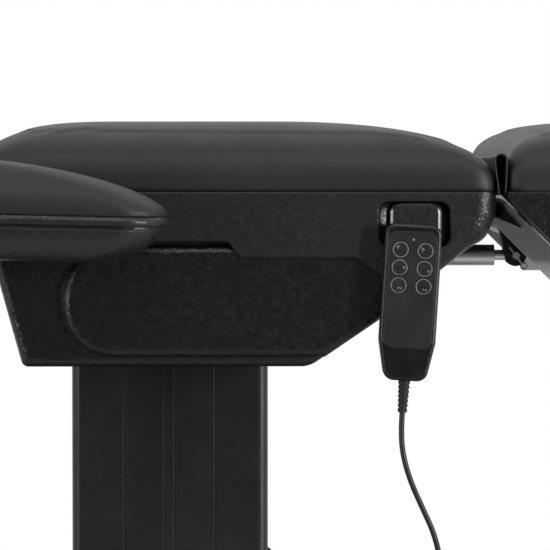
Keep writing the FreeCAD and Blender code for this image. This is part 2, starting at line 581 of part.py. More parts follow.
def build_seat_shell():
    wall = dim.shell_wall
    tub_half = half_width - dim.skirt_step - dim.panel_step
    panel_half = half_width - dim.skirt_step
    rear_slope = (dim.seat_rear - dim.shell_foot_rear) / (seam - shell_bottom)

    def rear_at(level):
        return -dim.shell_foot_rear - rear_slope * (level - shell_bottom)

    contour = shell_front(0)
    heel = (rear_at(shell_bottom), shell_bottom)
    front_rounds = [("neck", contour[2], dim.chin_round), ("chin", contour[3], dim.chin_round),
                    ("lip", contour[4], dim.lip_round)]
    tub = side_body("tub", [(rear_at(seam), seam), heel] + contour, (-tub_half, tub_half))
    round_corners(tub, "tub", front_rounds + [("heel", heel, dim.heel_round),
                                              ("foot", contour[0], dim.foot_round)])
    round_edges(tub, "tub_round", dim.tub_round, lambda edge: on_sides(mm(tub_half))(edge)
                and min(vertex.Point.z for vertex in edge.Vertexes) < mm(seam) - 1)

    panel_low = shell_bottom + dim.panel_lift
    panel_high = panel_low + dim.panel_height
    slope_x = dim.step_end + 62
    slope_z = contour[1][1] + (slope_x - contour[1][0]) * ((mm(contour[2][1]) - mm(contour[1][1]))
                                                        / (mm(contour[2][0]) - mm(contour[1][0])))
    panel_foot = (dim.shell_foot_front + dim.panel_lift * (72 / 49), panel_low)
    panel = side_body("panel", [(-dim.panel_rear, panel_high), (-dim.panel_rear, panel_low), panel_foot,
                                contour[1], (slope_x, slope_z), (slope_x, panel_high)],
                      (-panel_half, panel_half))
    round_edges(panel, "panel_end", dim.panel_round, lambda edge: spans(edge, "Y")
                and abs(edge.Vertexes[0].Point.x + mm(dim.panel_rear)) < 1e-6)
    round_edges(panel, "panel_edge", dim.panel_step - 0.6, on_sides(mm(panel_half)))

    skirt_low, skirt_lower = seam - dim.skirt_height, seam - dim.skirt_low_height
    skirt = side_body("skirt", [(rear_at(seam), seam), (rear_at(skirt_low), skirt_low),
                                (dim.step_start, skirt_low), (dim.step_start + dim.step_slope, skirt_lower),
                                (dim.step_end, skirt_lower),
                                (slope_x, slope_z)] + contour[2:], (-half_width, half_width))
    round_corners(skirt, "skirt", front_rounds + [
        ("step_top", (dim.step_start, skirt_low), dim.step_round),
        ("step_low", (dim.step_start + dim.step_slope, skirt_lower), dim.step_round)])

    def skirt_edges(x_low, x_high):
        return lambda edge: (on_sides(mm(half_width))(edge) and x_low < edge.CenterOfMass.x < x_high
                             and min(vertex.Point.z for vertex in edge.Vertexes) < mm(seam) - 1)

    round_edges(skirt, "skirt_corner", dim.seat_corner, skirt_edges(-1e6, mm(rear_at(skirt_low))))
    round_edges(skirt, "skirt_front", dim.skirt_round, skirt_edges(mm(slope_x), 1e6))

    cavity_low = shell_bottom + wall
    cavity = side_body("cavity", [(rear_at(seam) + wall, seam + 1), (rear_at(cavity_low) + wall, cavity_low)]
                       + shell_front(wall), (wall - tub_half, tub_half - wall))
    hollow = cut("shell_hollow", fuse("shell_blank", [tub, panel, skirt]), [cavity])

    recess_top = seam - dim.recess_drop
    recess_low = recess_top - dim.recess_height
    recess_back = dim.recess_depth - half_width
    boss = box("recess_boss", (recess_left - 6, recess_right + 6), (2 - tub_half, recess_back + wall),
               (recess_low - 6, recess_top + 6))
    recess = side_body("recess", [(recess_left, recess_low), (recess_right, recess_low),
                                  (recess_right, recess_top), (recess_left, recess_top)],
                       (-half_width - 5, recess_back))
    round_edges(recess, "recess_round", dim.recess_corner, lambda edge: spans(edge, "Y"))
    half_opening = dim.mechanism_opening / 2
    openings = [
        recess,
        box("front_opening", (dim.shell_foot_front + 48, dim.seat_front + 10), (-half_opening, half_opening),
            (shell_bottom + 20, seam - 7)),
        box("rear_opening", (-dim.seat_rear - 10, -dim.shell_foot_rear + 6), (-half_opening, half_opening),
            (shell_bottom + 35, seam - 7)),
        box("column_hole", (-dim.column_width / 2 - 2, dim.column_width / 2 + 2),
            (-dim.column_depth / 2 - 2, dim.column_depth / 2 + 2), (shell_bottom - 5, cavity_low + 5)),
        rod("gland_hole", "Z", (dim.gland_x, dim.gland_y, shell_bottom - 5), wall + 10, 6 + dim.running_gap),
    ]
    piece(cut("shell_open", fuse("shell_bossed", [hollow, boss]), openings), "seat_shell")

    tongue_middle = (recess_left + recess_right) / 2 + 1
    tongue_half = dim.tongue_width / 2
    tongue_low = recess_low + 4
    tongue_front = dim.soft_gap - half_width
    tongue_back = tongue_front + dim.tongue_thickness
    tongue = side_body("tongue", [(tongue_middle - tongue_half, tongue_low),
                                  (tongue_middle + tongue_half, tongue_low),
                                  (tongue_middle + tongue_half, tongue_low + dim.tongue_height),
                                  (tongue_middle - tongue_half, tongue_low + dim.tongue_height)],
                       (tongue_front, tongue_back))
    round_edges(tongue, "tongue_round", 9, lambda edge: spans(edge, "Y"))
    stem = box("tongue_stem", (tongue_middle - 10, tongue_middle + 10), (tongue_back - 1, recess_back),
               (tongue_low + 8, tongue_low + 32))
    piece(fuse("holder", [tongue, stem]), "handset_holder")


def build_seat_frame():
    rail_low, rail_high = dim.rail_middle - dim.rail_width / 2, dim.rail_middle + dim.rail_width / 2
    rails_z = (rail_bottom, board_bottom)
    rail_front = leg_hinge_x - 23
    rail_rear = 10 - dim.seat_rear
    parts = [
        box("cross_middle", (dim.cross_start, dim.cross_end), (-rail_low, rail_low), rails_z),
        box("cross_front", (dim.front_cross_start, dim.bridge_front), (-rail_low, rail_low), rails_z),
        box("cross_rear", (rail_rear, rail_rear + dim.rear_cross_width), (-rail_low, rail_low),
            (board_bottom - dim.rear_cross_height, board_bottom)),
    ]
    bores = []
    for sign, side in ((-1, "right"), (1, "left")):
        def across(low, high):
            return sorted((as_size(low) * sign, as_size(high) * sign), key=mm)

        lug_y = across(dim.lug_inner, dim.lug_inner + dim.lug_thickness)
        lug_middle = (dim.lug_inner + dim.lug_thickness / 2) * sign
        parts.append(box(f"rail_{side}", (rail_rear, rail_front), across(rail_low, rail_high), rails_z))
        bridge_y = across(dim.bridge_middle - dim.bridge_width / 2, dim.bridge_middle + dim.bridge_width / 2)
        parts.append(box(f"bridge_{side}", (-dim.bridge_rear, dim.bridge_front), bridge_y,
                         (bridge_bottom, rail_bottom)))
        parts.append(box(f"leg_lug_{side}", (rail_front - 10, leg_hinge_x), lug_y,
                         (leg_hinge_z - dim.leg_hinge_eye, board_bottom)))
        parts.append(pin_across(f"leg_lug_eye_{side}", leg_hinge_x, leg_hinge_z, lug_middle,
                                dim.lug_thickness, dim.leg_hinge_eye))
        parts.append(box(f"back_lug_foot_{side}", (-back_hinge_x - dim.back_hinge_eye, rail_rear + 10), lug_y,
                         rails_z))
        parts.append(box(f"back_lug_{side}", (-back_hinge_x - dim.back_hinge_eye,
                                              dim.back_hinge_eye - back_hinge_x), lug_y,
                         (rail_bottom, back_hinge_z)))
        parts.append(pin_across(f"back_lug_eye_{side}", -back_hinge_x, back_hinge_z, lug_middle,
                                dim.lug_thickness, dim.back_hinge_eye))
        bores.append(pin_across(f"leg_lug_bore_{side}", leg_hinge_x, leg_hinge_z, lug_middle, 20,
                                dim.leg_hinge_pin + dim.running_gap))
        bores.append(pin_across(f"back_lug_bore_{side}", -back_hinge_x, back_hinge_z, lug_middle, 20,
                                dim.back_hinge_pin + dim.running_gap))
    for tag, x, y, z in drive_pivots():
        for sign in (-1, 1):
            faces = sorted((y + (dim.drive_eye_width / 2 + 0.5) * sign,
                            y + (dim.drive_eye_width / 2 + 0.5 + dim.drive_cheek) * sign), key=mm)
            parts.append(box(f"{tag}_cheek_{sign + 1}", (x - dim.drive_eye, x + dim.drive_eye), faces,
                             (z - dim.drive_eye, rail_bottom)))
        bores.append(pin_across(f"{tag}_cheek_bore", x, z, y, 60, dim.drive_pin + dim.running_gap))
    piece(cut("frame_bored", fuse("frame_welded", parts), bores), "seat_frame")

    pins = []
    for sign, side in ((-1, "right"), (1, "left")):
        for tag, x, z, radius in (("leg", leg_hinge_x, leg_hinge_z, dim.leg_hinge_pin),
                                  ("back", -back_hinge_x, back_hinge_z, dim.back_hinge_pin)):
            head = pin_across(f"{tag}_pin_head_{side}", x, z, (dim.lug_inner - 1.5) * sign, 3, radius + 2.5)
            shank = pin_across(f"{tag}_pin_shank_{side}", x, z, (dim.lug_inner + bar_outer + 2) / 2 * sign,
                               bar_outer + 2 - dim.lug_inner, radius)
            pins.append(fuse(f"{tag}_pin_{side}", [head, shank]))
    for tag, x, y, z in drive_pivots():
        outer = dim.drive_eye_width / 2 + dim.drive_cheek + 0.5
        shank = pin_across(f"{tag}_drive_pin_shank", x, z, y, outer * 2 + 4, dim.drive_pin)
        head = pin_across(f"{tag}_drive_pin_head", x, z, y + outer + 1.5, 3, dim.drive_pin + 2.5)
        pins.append(fuse(f"{tag}_drive_pin", [shank, head]))
    piece(fuse("pin_set", pins), "pivot_pins")

    board_half = half_width - dim.board_rim
    piece(box("board", (12 - dim.seat_rear, dim.seat_front - 8), (-board_half, board_half),
              (board_bottom, seam)), "seat_board")
    piece(box("controller", (-dim.control_rear, -dim.control_front), (-dim.control_half, dim.control_half),
              (bridge_bottom, bridge_bottom + dim.control_height)), "control_box")


def drive_pivots():
    """Rear pin of each tilting actuator: name, x, y, z."""
    return (("leg", dim.leg_drive_x, -dim.leg_drive_y, leg_drive_z),
            ("back", dim.back_drive_x, dim.back_drive_y, back_drive_z))


def build_actuator(tag, x, y, z, mouth, bore_radius, way):
    """Rear eye, gear housing, motor and outer tube; way is +1 when the rod comes out towards +X."""
    radius = bore_radius + dim.tube_wall

    def ahead(low, high):
        return sorted((x + as_size(low) * way, x + as_size(high) * way), key=mm)

    half_eye, half_housing = dim.drive_eye_width / 2, dim.drive_housing_width / 2
    motor_z = z - dim.drive_motor_drop
    reach = (mouth - x) * way
    housing = box(f"{tag}_housing", ahead(dim.drive_eye + 6, 65), (y - half_housing, y + half_housing),
                  (motor_z - dim.drive_motor_radius - 2, z + radius + 3))
    eye = pin_across(f"{tag}_eye", x, z, y, dim.drive_eye_width, dim.drive_eye)
    neck = box(f"{tag}_neck", ahead(0, 20), (y - half_eye, y + half_eye), (z - 9, z + 9))
    low, high = ahead(60, reach)
    tube = rod(f"{tag}_tube", "X", (low, y, z), high - low, radius)
    low, high = ahead(60, 150)
    motor = rod(f"{tag}_motor", "X", (low, y, motor_z), high - low, dim.drive_motor_radius)
    low, high = ahead(reach - 10, reach + 2)
    collar = rod(f"{tag}_collar", "X", (low, y, z), high - low, radius + 1.5)
    low, high = ahead(67, reach + 5)
    bore = rod(f"{tag}_tube_bore", "X", (low, y, z), high - low, bore_radius)
    pin_bore = pin_across(f"{tag}_eye_bore", x, z, y, 40, dim.drive_pin + dim.running_gap)
    body = fuse(f"{tag}_drive_body", [housing, eye, neck, tube, motor, collar])
    piece(cut(f"{tag}_drive", body, [bore, pin_bore]), f"{tag}_actuator")


def build_rod(tag, pin_x, y, z, radius, length, way):
    """Polished rod with a slimmer end and the eye that takes the clevis pin."""
    def behind(low, high):
        return sorted((pin_x - as_size(low) * way, pin_x - as_size(high) * way), key=mm)

    low, high = behind(23, length)
    shaft = rod(f"{tag}_shaft", "X", (low, y, z), high - low, radius)
    low, high = behind(8, 24)
    neck = rod(f"{tag}_rod_neck", "X", (low, y, z), high - low, dim.rod_eye_width / 2 - 0.25)
    eye = pin_across(f"{tag}_rod_eye", pin_x, z, y, dim.rod_eye_width, dim.clevis_eye - 1)
    bore = pin_across(f"{tag}_rod_bore", pin_x, z, y, 40, dim.clevis_pin + dim.running_gap)
    piece(cut(f"{tag}_rod_bored", fuse(f"{tag}_rod_body", [shaft, neck, eye]), [bore]), f"{tag}_rod")


def clevis_plates(tag, outline, pin_x, pin_z, middle_y):
    """Two drilled plates, one each side of a rod eye."""
    plates = []
    offset = dim.rod_eye_width / 2 + 0.5 + dim.clevis_plate / 2
    for sign in (-1, 1):
        middle = middle_y + offset * sign
        plate = side_body(f"{tag}_plate_{sign + 1}", outline,
                          (middle - dim.clevis_plate / 2, middle + dim.clevis_plate / 2))
        end = pin_across(f"{tag}_plate_end_{sign + 1}", pin_x, pin_z, middle, dim.clevis_plate,
                         dim.clevis_eye)
        plates += [plate, end]
    return plates


def build_legrest():
    hinge_x, hinge_z = leg_hinge_x, leg_hinge_z
    half_bar = dim.bar_width / 2
    lean = math.sqrt(0.5)
    shell_low = seam - dim.leg_shell_depth
    upper_sum = hinge_x + hinge_z + dim.bar_width * lean
    lower_sum = hinge_x + hinge_z - dim.bar_width * lean
    bar_end = hinge_x + dim.bar_length
    outline = [(hinge_x + half_bar * lean, hinge_z + half_bar * lean), (upper_sum - shell_low, shell_low),
               (bar_end, shell_low), (bar_end, shell_low - dim.bar_width),
               (lower_sum - shell_low + dim.bar_width, shell_low - dim.bar_width),
               (hinge_x - half_bar * lean, hinge_z - half_bar * lean)]
    for sign, side in ((-1, "right"), (1, "left")):
        faces = sorted((bar_inner * sign, bar_outer * sign), key=mm)
        middle = (bar_inner + bar_outer) / 2 * sign
        bar = side_body(f"bar_{side}", outline, faces)
        eye = pin_across(f"bar_eye_{side}", hinge_x, hinge_z, middle, dim.bar_thickness, dim.leg_hinge_eye)
        bore = pin_across(f"bar_bore_{side}", hinge_x, hinge_z, middle, 20,
                          dim.leg_hinge_pin + dim.running_gap)
        piece(cut(f"bar_bored_{side}", fuse(f"bar_eyed_{side}", [bar, eye]), [bore]), f"leg_bar_{side}")

    cross_x, cross_z = hinge_x + dim.leg_cross_reach, hinge_z - dim.leg_cross_reach
    pin_x, pin_z, pin_y = leg_pin_x, leg_rod_z, -dim.leg_drive_y
    cross = pin_across("leg_cross", cross_x, cross_z, 0, bar_inner * 2, dim.leg_cross_radius)
    plates = clevis_plates("leg_clevis", [(pin_x - dim.clevis_eye, pin_z), (pin_x + dim.clevis_eye, pin_z),
                                          (pin_x + dim.clevis_eye, cross_z),
                                          (pin_x - dim.clevis_eye - dim.clevis_flare,
                                           cross_z + dim.clevis_flare)],
                           pin_x, pin_z, pin_y)
    bores = [pin_across("leg_clevis_bore", pin_x, pin_z, pin_y, 60, dim.clevis_pin + dim.running_gap)]
    wedge = [(hinge_x, hinge_z + dim.cheek_eye), (hinge_x + dim.cheek_reach, hinge_z - dim.cheek_fall),
             (hinge_x, hinge_z - dim.cheek_eye)]
    for sign, side in ((-1, "right"), (1, "left")):
        faces = sorted((bar_outer * sign, (bar_outer + dim.cheek_thickness) * sign), key=mm)
        middle = (bar_outer + dim.cheek_thickness / 2) * sign
        plates.append(side_body(f"hinge_cheek_{side}", wedge, faces))
        plates.append(pin_across(f"cheek_eye_{side}", hinge_x, hinge_z, middle, dim.cheek_thickness,
                                 dim.cheek_eye))
        bores.append(pin_across(f"cheek_bore_{side}", hinge_x, hinge_z, middle, 20,
                                dim.leg_hinge_pin + dim.running_gap))
    piece(cut("leg_clevis_bored", fuse("leg_clevis_body", [cross] + plates), bores), "leg_clevis")
    build_clevis_pin("leg", pin_x, pin_z, pin_y, [build_split_pin(pin_x, pin_z, pin_y)])

    toe_low = seam - dim.leg_toe_depth
    shell_rear = dim.seat_front + dim.leg_gap
    leg_half = half_width - dim.leg_inset
    slope_sum = upper_sum + 2

    def shell_outline(inset, top):
        return [(shell_rear + inset, top), (shell_rear + inset, slope_sum - shell_rear + inset * 0.4),
                (slope_sum - shell_low + inset * 0.4, shell_low + inset), (bar_end, shell_low + inset),
                (leg_front - inset, toe_low + inset), (leg_front - inset, top)]

    outer = side_body("leg_shell_outer", shell_outline(0, seam), (-leg_half, leg_half))
    round_edges(outer, "leg_shell_corner", dim.seat_corner, lambda edge: on_sides(mm(leg_half))(edge)
                and edge.CenterOfMass.x > mm(leg_front) - 1)
    round_edges(outer, "leg_shell_round", dim.leg_shell_round, lambda edge: on_sides(mm(leg_half))(edge)
                and max(vertex.Point.z for vertex in edge.Vertexes) < mm(seam) - 20)
    wall = dim.shell_wall
    inner = side_body("leg_shell_inner", shell_outline(wall, seam + 1), (wall - leg_half, leg_half - wall))
    round_edges(inner, "leg_shell_inner_corner", dim.seat_corner - dim.shell_wall,
                lambda edge: on_sides(mm(leg_half) - mm(wall))(edge)
                and edge.CenterOfMass.x > mm(leg_front) - mm(wall) - 1)
    piece(cut("leg_shell_hollow", outer, [inner]), "leg_shell")
    board_half = leg_half - dim.board_rim
    piece(box("leg_panel", (shell_rear + 22, leg_front - dim.board_rim), (-board_half, board_half),
              (board_bottom, seam)), "leg_board")
    piece(crowned("leg_pad", seam, (shell_rear, leg_front, leg_half, dim.seat_corner), dim.cushion_height,
                  cushion_tuck, (dim.leg_crown_rear, TIGHT_EDGE), (dim.leg_crown, SOFT_EDGE),
                  (dim.crown_side, FULL_EDGE)),
          "leg_cushion")


def build_clevis_pin(tag, x, z, y, tools):
    """Clevis pin with a flat head at its far end and a stub beyond the near plate."""
    reach = dim.rod_eye_width / 2 + dim.clevis_plate + 0.5
    shank = rod(f"{tag}_clevis_shank", "Y", (x, y - reach - dim.clevis_stub, z), reach * 2 + dim.clevis_stub,
                dim.clevis_pin)
    head = rod(f"{tag}_clevis_head", "Y", (x, y + reach, z), 3, dim.clevis_pin + 2.5)
    body = fuse(f"{tag}_clevis_pin_body", [shank, head])
    piece(cut(f"{tag}_clevis_pin_drilled", body, tools) if tools else body, f"{tag}_clevis_pin")


def build_split_pin(x, z, y):
    """Split pin through the legrest's clevis pin, legs and ring; gives back the hole that it needs."""
    hole_y = y - dim.rod_eye_width / 2 - dim.clevis_plate - 0.5 - dim.clevis_stub / 2
    lean = FreeCAD.Rotation(FreeCAD.Vector(0, 1, 0), 143)
    along = lean.multVec(FreeCAD.Vector(0, 0, 1))
    bars = []
    for name, radius in (("split_hole", dim.split_wire + dim.running_gap), ("split_leg", dim.split_wire)):
        bar = rod(name, "Z", (x, hole_y, z), 24, radius)
        bar.Placement = FreeCAD.Placement(FreeCAD.Vector(), lean)
        bars.append(place(bar, x - along.x * 12, hole_y, z - along.z * 12))
    ring = doc.addObject("Part::Torus", "split_ring")
    ring.Placement = FreeCAD.Placement(FreeCAD.Vector(), CYLINDER_TURNS["Y"])
    bind(ring, "Radius1", dim.split_wire * 3)
    bind(ring, "Radius2", dim.split_wire)
    place(ring, x + along.x * 15, hole_y, z + along.z * 15)
    piece(fuse("split", [bars[1], ring]), "leg_split_pin")
    return bars[0]


def build_flap():
    """Leatherette strip folded over the gap between seat and legrest, as an upturned U."""
    half = half_width - dim.leg_inset - dim.flap_inset
    middle = dim.seat_front + dim.leg_gap / 2
    thick = dim.flap_thickness
    outer = dim.leg_gap / 2 - dim.flap_gap
    low, crest = seam - 4, seam + dim.flap_height - dim.leg_gap / 2
    left_out, left_in = middle - outer, middle - outer + thick
    right_in, right_out = middle + outer - thick, middle + outer
    points = [FreeCAD.Vector(mm(x), 0, mm(z)) for x, z in (
        (left_out, low), (left_out, crest), (right_out, crest), (right_out, low),
        (right_in, low), (right_in, crest), (left_in, crest), (left_in, low))]
    top_out = FreeCAD.Vector(mm(middle), 0, mm(crest + outer))
    top_in = FreeCAD.Vector(mm(middle), 0, mm(crest + outer - thick))
    edges = [
        Part.LineSegment(points[0], points[1]).toShape(),
        Part.Arc(points[1], top_out, points[2]).toShape(),
        Part.LineSegment(points[2], points[3]).toShape(),
        Part.LineSegment(points[3], points[4]).toShape(),
        Part.LineSegment(points[4], points[5]).toShape(),
        Part.Arc(points[5], top_in, points[6]).toShape(),
        Part.LineSegment(points[6], points[7]).toShape(),
        Part.LineSegment(points[7], points[0]).toShape(),
    ]
    strip = doc.addObject("Part::Feature", "flap")
    strip.Shape = Part.Face(Part.Wire(edges)).extrude(FreeCAD.Vector(0, mm(half) * 2, 0))
    strip.Placement = FreeCAD.Placement(FreeCAD.Vector(0, -mm(half), 0), FreeCAD.Rotation())
    piece(strip, "gap_flap")


def build_backrest():
    hinge_x, hinge_z, eye = -back_hinge_x, back_hinge_z, dim.back_hinge_eye
    arms_z = (rail_bottom, board_bottom)
    rear = -back_arm_end
    outline = [(hinge_x + eye, hinge_z), (hinge_x + eye, arms_z[0]), (rear, arms_z[0]), (rear, arms_z[1]),
               (hinge_x - eye, arms_z[1]), (hinge_x - eye, hinge_z)]
    front_cross = (-back_front - 23, -back_front - 1)
    parts = [box("back_cross_front", front_cross, (-bar_inner, bar_inner), arms_z),
             box("back_cross_rear", (rear, rear + 30), (-bar_inner, bar_inner), arms_z)]
    bores = []
    half_guide = dim.guide_width / 2
    for sign, side in ((-1, "right"), (1, "left")):
        faces = sorted((bar_inner * sign, bar_outer * sign), key=mm)
        middle = (bar_inner + bar_outer) / 2 * sign
        parts.append(side_body(f"back_arm_{side}", outline, faces))
        parts.append(pin_across(f"back_arm_eye_{side}", hinge_x, hinge_z, middle, dim.bar_thickness, eye))
        bores.append(pin_across(f"back_arm_bore_{side}", hinge_x, hinge_z, middle, 20,
                                dim.back_hinge_pin + dim.running_gap))
        post_y = dim.post_middle * sign
        parts.append(box(f"guide_{side}", (-guide_end, rear), (post_y - half_guide, post_y + half_guide),
                         (post_height - half_guide, post_height + half_guide)))
        bores.append(rod(f"guide_bore_{side}", "X", (-guide_end - 5, post_y, post_height),
                         guide_end - back_arm_end, dim.post_radius + dim.running_gap))
    piece(cut("back_frame_bored", fuse("back_frame_welded", parts), bores), "back_frame")

    pin_x, pin_z, pin_y = -back_pin_x, back_rod_z, dim.back_drive_y
    reach = dim.clevis_eye * math.sqrt(0.5)
    crank = [(front_cross[0], arms_z[0]), (front_cross[1], arms_z[0]), (front_cross[1], arms_z[0] + 16),
             (pin_x + reach, pin_z + reach), (pin_x - reach, pin_z - reach)]
    plates = clevis_plates("back_clevis", crank, pin_x, pin_z, pin_y)
    bore = pin_across("back_clevis_bore", pin_x, pin_z, pin_y, 60, dim.clevis_pin + dim.running_gap)
    piece(cut("back_clevis_bored", fuse("back_clevis_body", plates), [bore]), "back_clevis")
    build_clevis_pin("back", pin_x, pin_z, pin_y, [])

    rear_x, front_x = -back_rear, -back_front
    board_half = half_width - dim.board_rim
    piece(box("back_panel", (rear_x + 14, front_x - 6), (-board_half, board_half), (board_bottom, seam)),
          "back_board")
    wall, corner = dim.shell_wall, dim.seat_corner
    tray_low = seam - dim.back_shell_depth
    levels = [(tray_low, 30), (tray_low + 12, 8), (seam, 0)]
    outer = loft_body("back_tray", [(level, rear_x + inset, front_x - 2 - inset * 0.1,
                                     half_width - 2 - inset, corner) for level, inset in levels], True)
    inner = loft_body("back_tray_inner", [(level + wall, rear_x + inset + wall, front_x + 4,
                                           half_width - 2 - wall - inset, corner - wall)
                                          for level, inset in levels], True)
    half_opening = dim.mechanism_opening / 2
    mouth = box("back_tray_mouth", (front_x - 30, front_x + 2), (-half_opening, half_opening),
                (tray_low - 1, seam + 1))
    post_holes = [rod(f"back_tray_hole_{side}", "X", (rear_x - 20, dim.post_middle * sign, post_height), 60,
                      dim.post_radius + 1) for sign, side in ((-1, "right"), (1, "left"))]
    piece(cut("back_tray_open", outer, [inner, mouth] + post_holes), "back_shell")
    piece(crowned("back_pad", seam, (rear_x, front_x, half_width, corner), dim.cushion_height, cushion_tuck,
                  (dim.back_crown, SOFT_EDGE), (dim.back_crown, SOFT_EDGE), (dim.crown_side, FULL_EDGE)),
          "back_cushion")

    for sign, side in ((-1, "right"), (1, "left")):
        def across(low, high):
            return sorted((as_size(low) * sign, as_size(high) * sign), key=mm)

        plate_low = tray_low - dim.bracket_thickness
        upright = (arm_inner - 2 - dim.bracket_thickness, arm_inner - 2)
        x_faces = (-arm_pivot_x - dim.bracket_width / 2, dim.bracket_width / 2 - arm_pivot_x)
        arm = box(f"bracket_arm_{side}", x_faces, across(150, upright[1]), (plate_low, tray_low))
        plate = box(f"bracket_plate_{side}", x_faces, across(*upright),
                    (arm_pivot_z - dim.bracket_width / 2, arm_pivot_z + dim.bracket_width / 2))
        hole = pin_across(f"bracket_hole_{side}", -arm_pivot_x, arm_pivot_z, arm_inner * sign, 40,
                          dim.arm_bolt_radius + dim.running_gap)
        body = fuse(f"bracket_body_{side}", [arm, plate])
        piece(cut(f"bracket_{side}", body, [hole]), f"arm_bracket_{side}")
    bolts = []
    for sign, side in ((-1, "right"), (1, "left")):
        length = dim.bracket_thickness + 2 + dim.arm_bolt_reach
        middle = arm_inner + dim.arm_bolt_reach - length / 2
        bolts.append(pin_across(f"arm_bolt_{side}", -arm_pivot_x, arm_pivot_z, middle * sign, length,
                                dim.arm_bolt_radius))
    piece(fuse("arm_bolt_set", bolts), "arm_pivot_bolts")


def build_headrest():
    rear_x, front_x = -head_rear, -head_front
    head_half = dim.head_width / 2
    low = seam - dim.head_shell_depth
    tray = loft_body("head_tray", [(low, rear_x + 16, front_x - 10, head_half - 16, dim.seat_corner),
                                   (low + 12, rear_x + 4, front_x - 2, head_half - 4, dim.seat_corner),
                                   (seam, rear_x, front_x, head_half, dim.seat_corner)], True)
    posts = []
    sockets = []
    post_start = -head_front - dim.post_socket
    for sign, side in ((-1, "right"), (1, "left")):
        start = (post_start, dim.post_middle * sign, post_height)
        length = dim.post_length
        posts.append(rod(f"post_{side}", "X", start, length, dim.post_radius))
        sockets.append(rod(f"post_socket_{side}", "X", start, length, dim.post_radius + dim.running_gap))
    piece(fuse("post_set", posts), "headrest_posts")
    piece(cut("head_tray_drilled", tray, sockets), "headrest_shell")
    piece(crowned("head_pad", seam, (rear_x, front_x, head_half, dim.seat_corner + 10),
                  dim.cushion_height - dim.head_top_drop, cushion_tuck, (dim.head_crown, WORN_EDGE),
                  (dim.head_crown, WORN_EDGE), (dim.head_crown, WORN_EDGE)), "headrest_cushion")


def build_armrest(sign, side):
    """Crowned pad on a two-step moulded shell, both turned by the armrest's slight tilt."""
    half = dim.arm_width / 2
    middle_y = (arm_inner + half) * sign
    rear_x, front_x = -arm_pivot_x - dim.arm_tail, dim.arm_nose - arm_pivot_x
    corner = half - 6
    tilt = FreeCAD.Rotation(FreeCAD.Vector(0, 1, 0), mm(dim.arm_tilt))

    def tilted(thing, y):
        turned = tilt.multVec(FreeCAD.Vector(mm(arm_pivot_x), 0, mm(arm_seam) - mm(arm_pivot_z)))
        thing.Placement = FreeCAD.Placement(FreeCAD.Vector(), tilt)
        bind(thing, "Placement.Rotation.Angle", dim.arm_tilt)
        return place(thing, turned.x - arm_pivot_x, y, turned.z + arm_pivot_z)

    pad_body = crowned(f"arm_pad_{side}", as_size(0), (rear_x, front_x, half, corner), dim.arm_pad_height,
                       (dim.arm_pinch, dim.arm_tuck_height), (dim.arm_crown_rear, WORN_EDGE),
                       (dim.arm_crown_front, SLOPED_EDGE), (dim.arm_crown_side, ROUND_EDGE))
    piece(tilted(pad_body, middle_y), f"armrest_pad_{side}")

    band_low = -dim.arm_band
    groove_low = band_low - dim.arm_groove
    band = loft_body(f"arm_band_{side}", [(band_low, rear_x + 1, front_x - 1, half - 1, corner),
                                          (band_low / 2, rear_x, front_x, half, corner),
                                          (as_size(0), rear_x + 3, front_x - 3, half - 3, corner - 2)])
    waist = loft_body(f"arm_waist_{side}", [(groove_low, rear_x + 5, front_x - 5, half - 5, corner - 4),
                                            (band_low, rear_x + 5, front_x - 5, half - 5, corner - 4)], True)
    bowl_low = -dim.arm_shell_depth
    bowl = loft_body(f"arm_bowl_{side}", [(bowl_low, rear_x + 70, front_x - 78, half - 30, half - 34),
                                          (bowl_low + 4, rear_x + 44, front_x - 49, half - 18, half - 22),
                                          (bowl_low + 22, rear_x + 12, front_x - 14, half - 4, half - 8),
                                          (groove_low, rear_x + 3, front_x - 4, half - 1, corner)])
    pivot_z = arm_pivot_z - arm_seam
    bore_start = -half - 10 if sign > 0 else half - dim.arm_bolt_reach
    bore = rod(f"arm_bore_{side}", "Y", (-arm_pivot_x, bore_start, pivot_z), dim.arm_bolt_reach + 10,
               dim.arm_bolt_radius + dim.running_gap)
    shell = cut(f"arm_shell_{side}", fuse(f"arm_shell_body_{side}", [band, waist, bowl]), [bore])
    piece(tilted(shell, middle_y), f"armrest_shell_{side}")


def in_hand(thing, label):
    """Put a handset piece, drawn upright about the handset's middle, in its leaning place on the holder."""
    thing.Placement = FreeCAD.Placement(FreeCAD.Vector(), FreeCAD.Rotation(FreeCAD.Vector(0, 1, 0), 3))
    bind(thing, "Placement.Rotation.Angle", dim.handset_lean)
    return piece(place(thing, handset_x, -handset_y, handset_z), label)


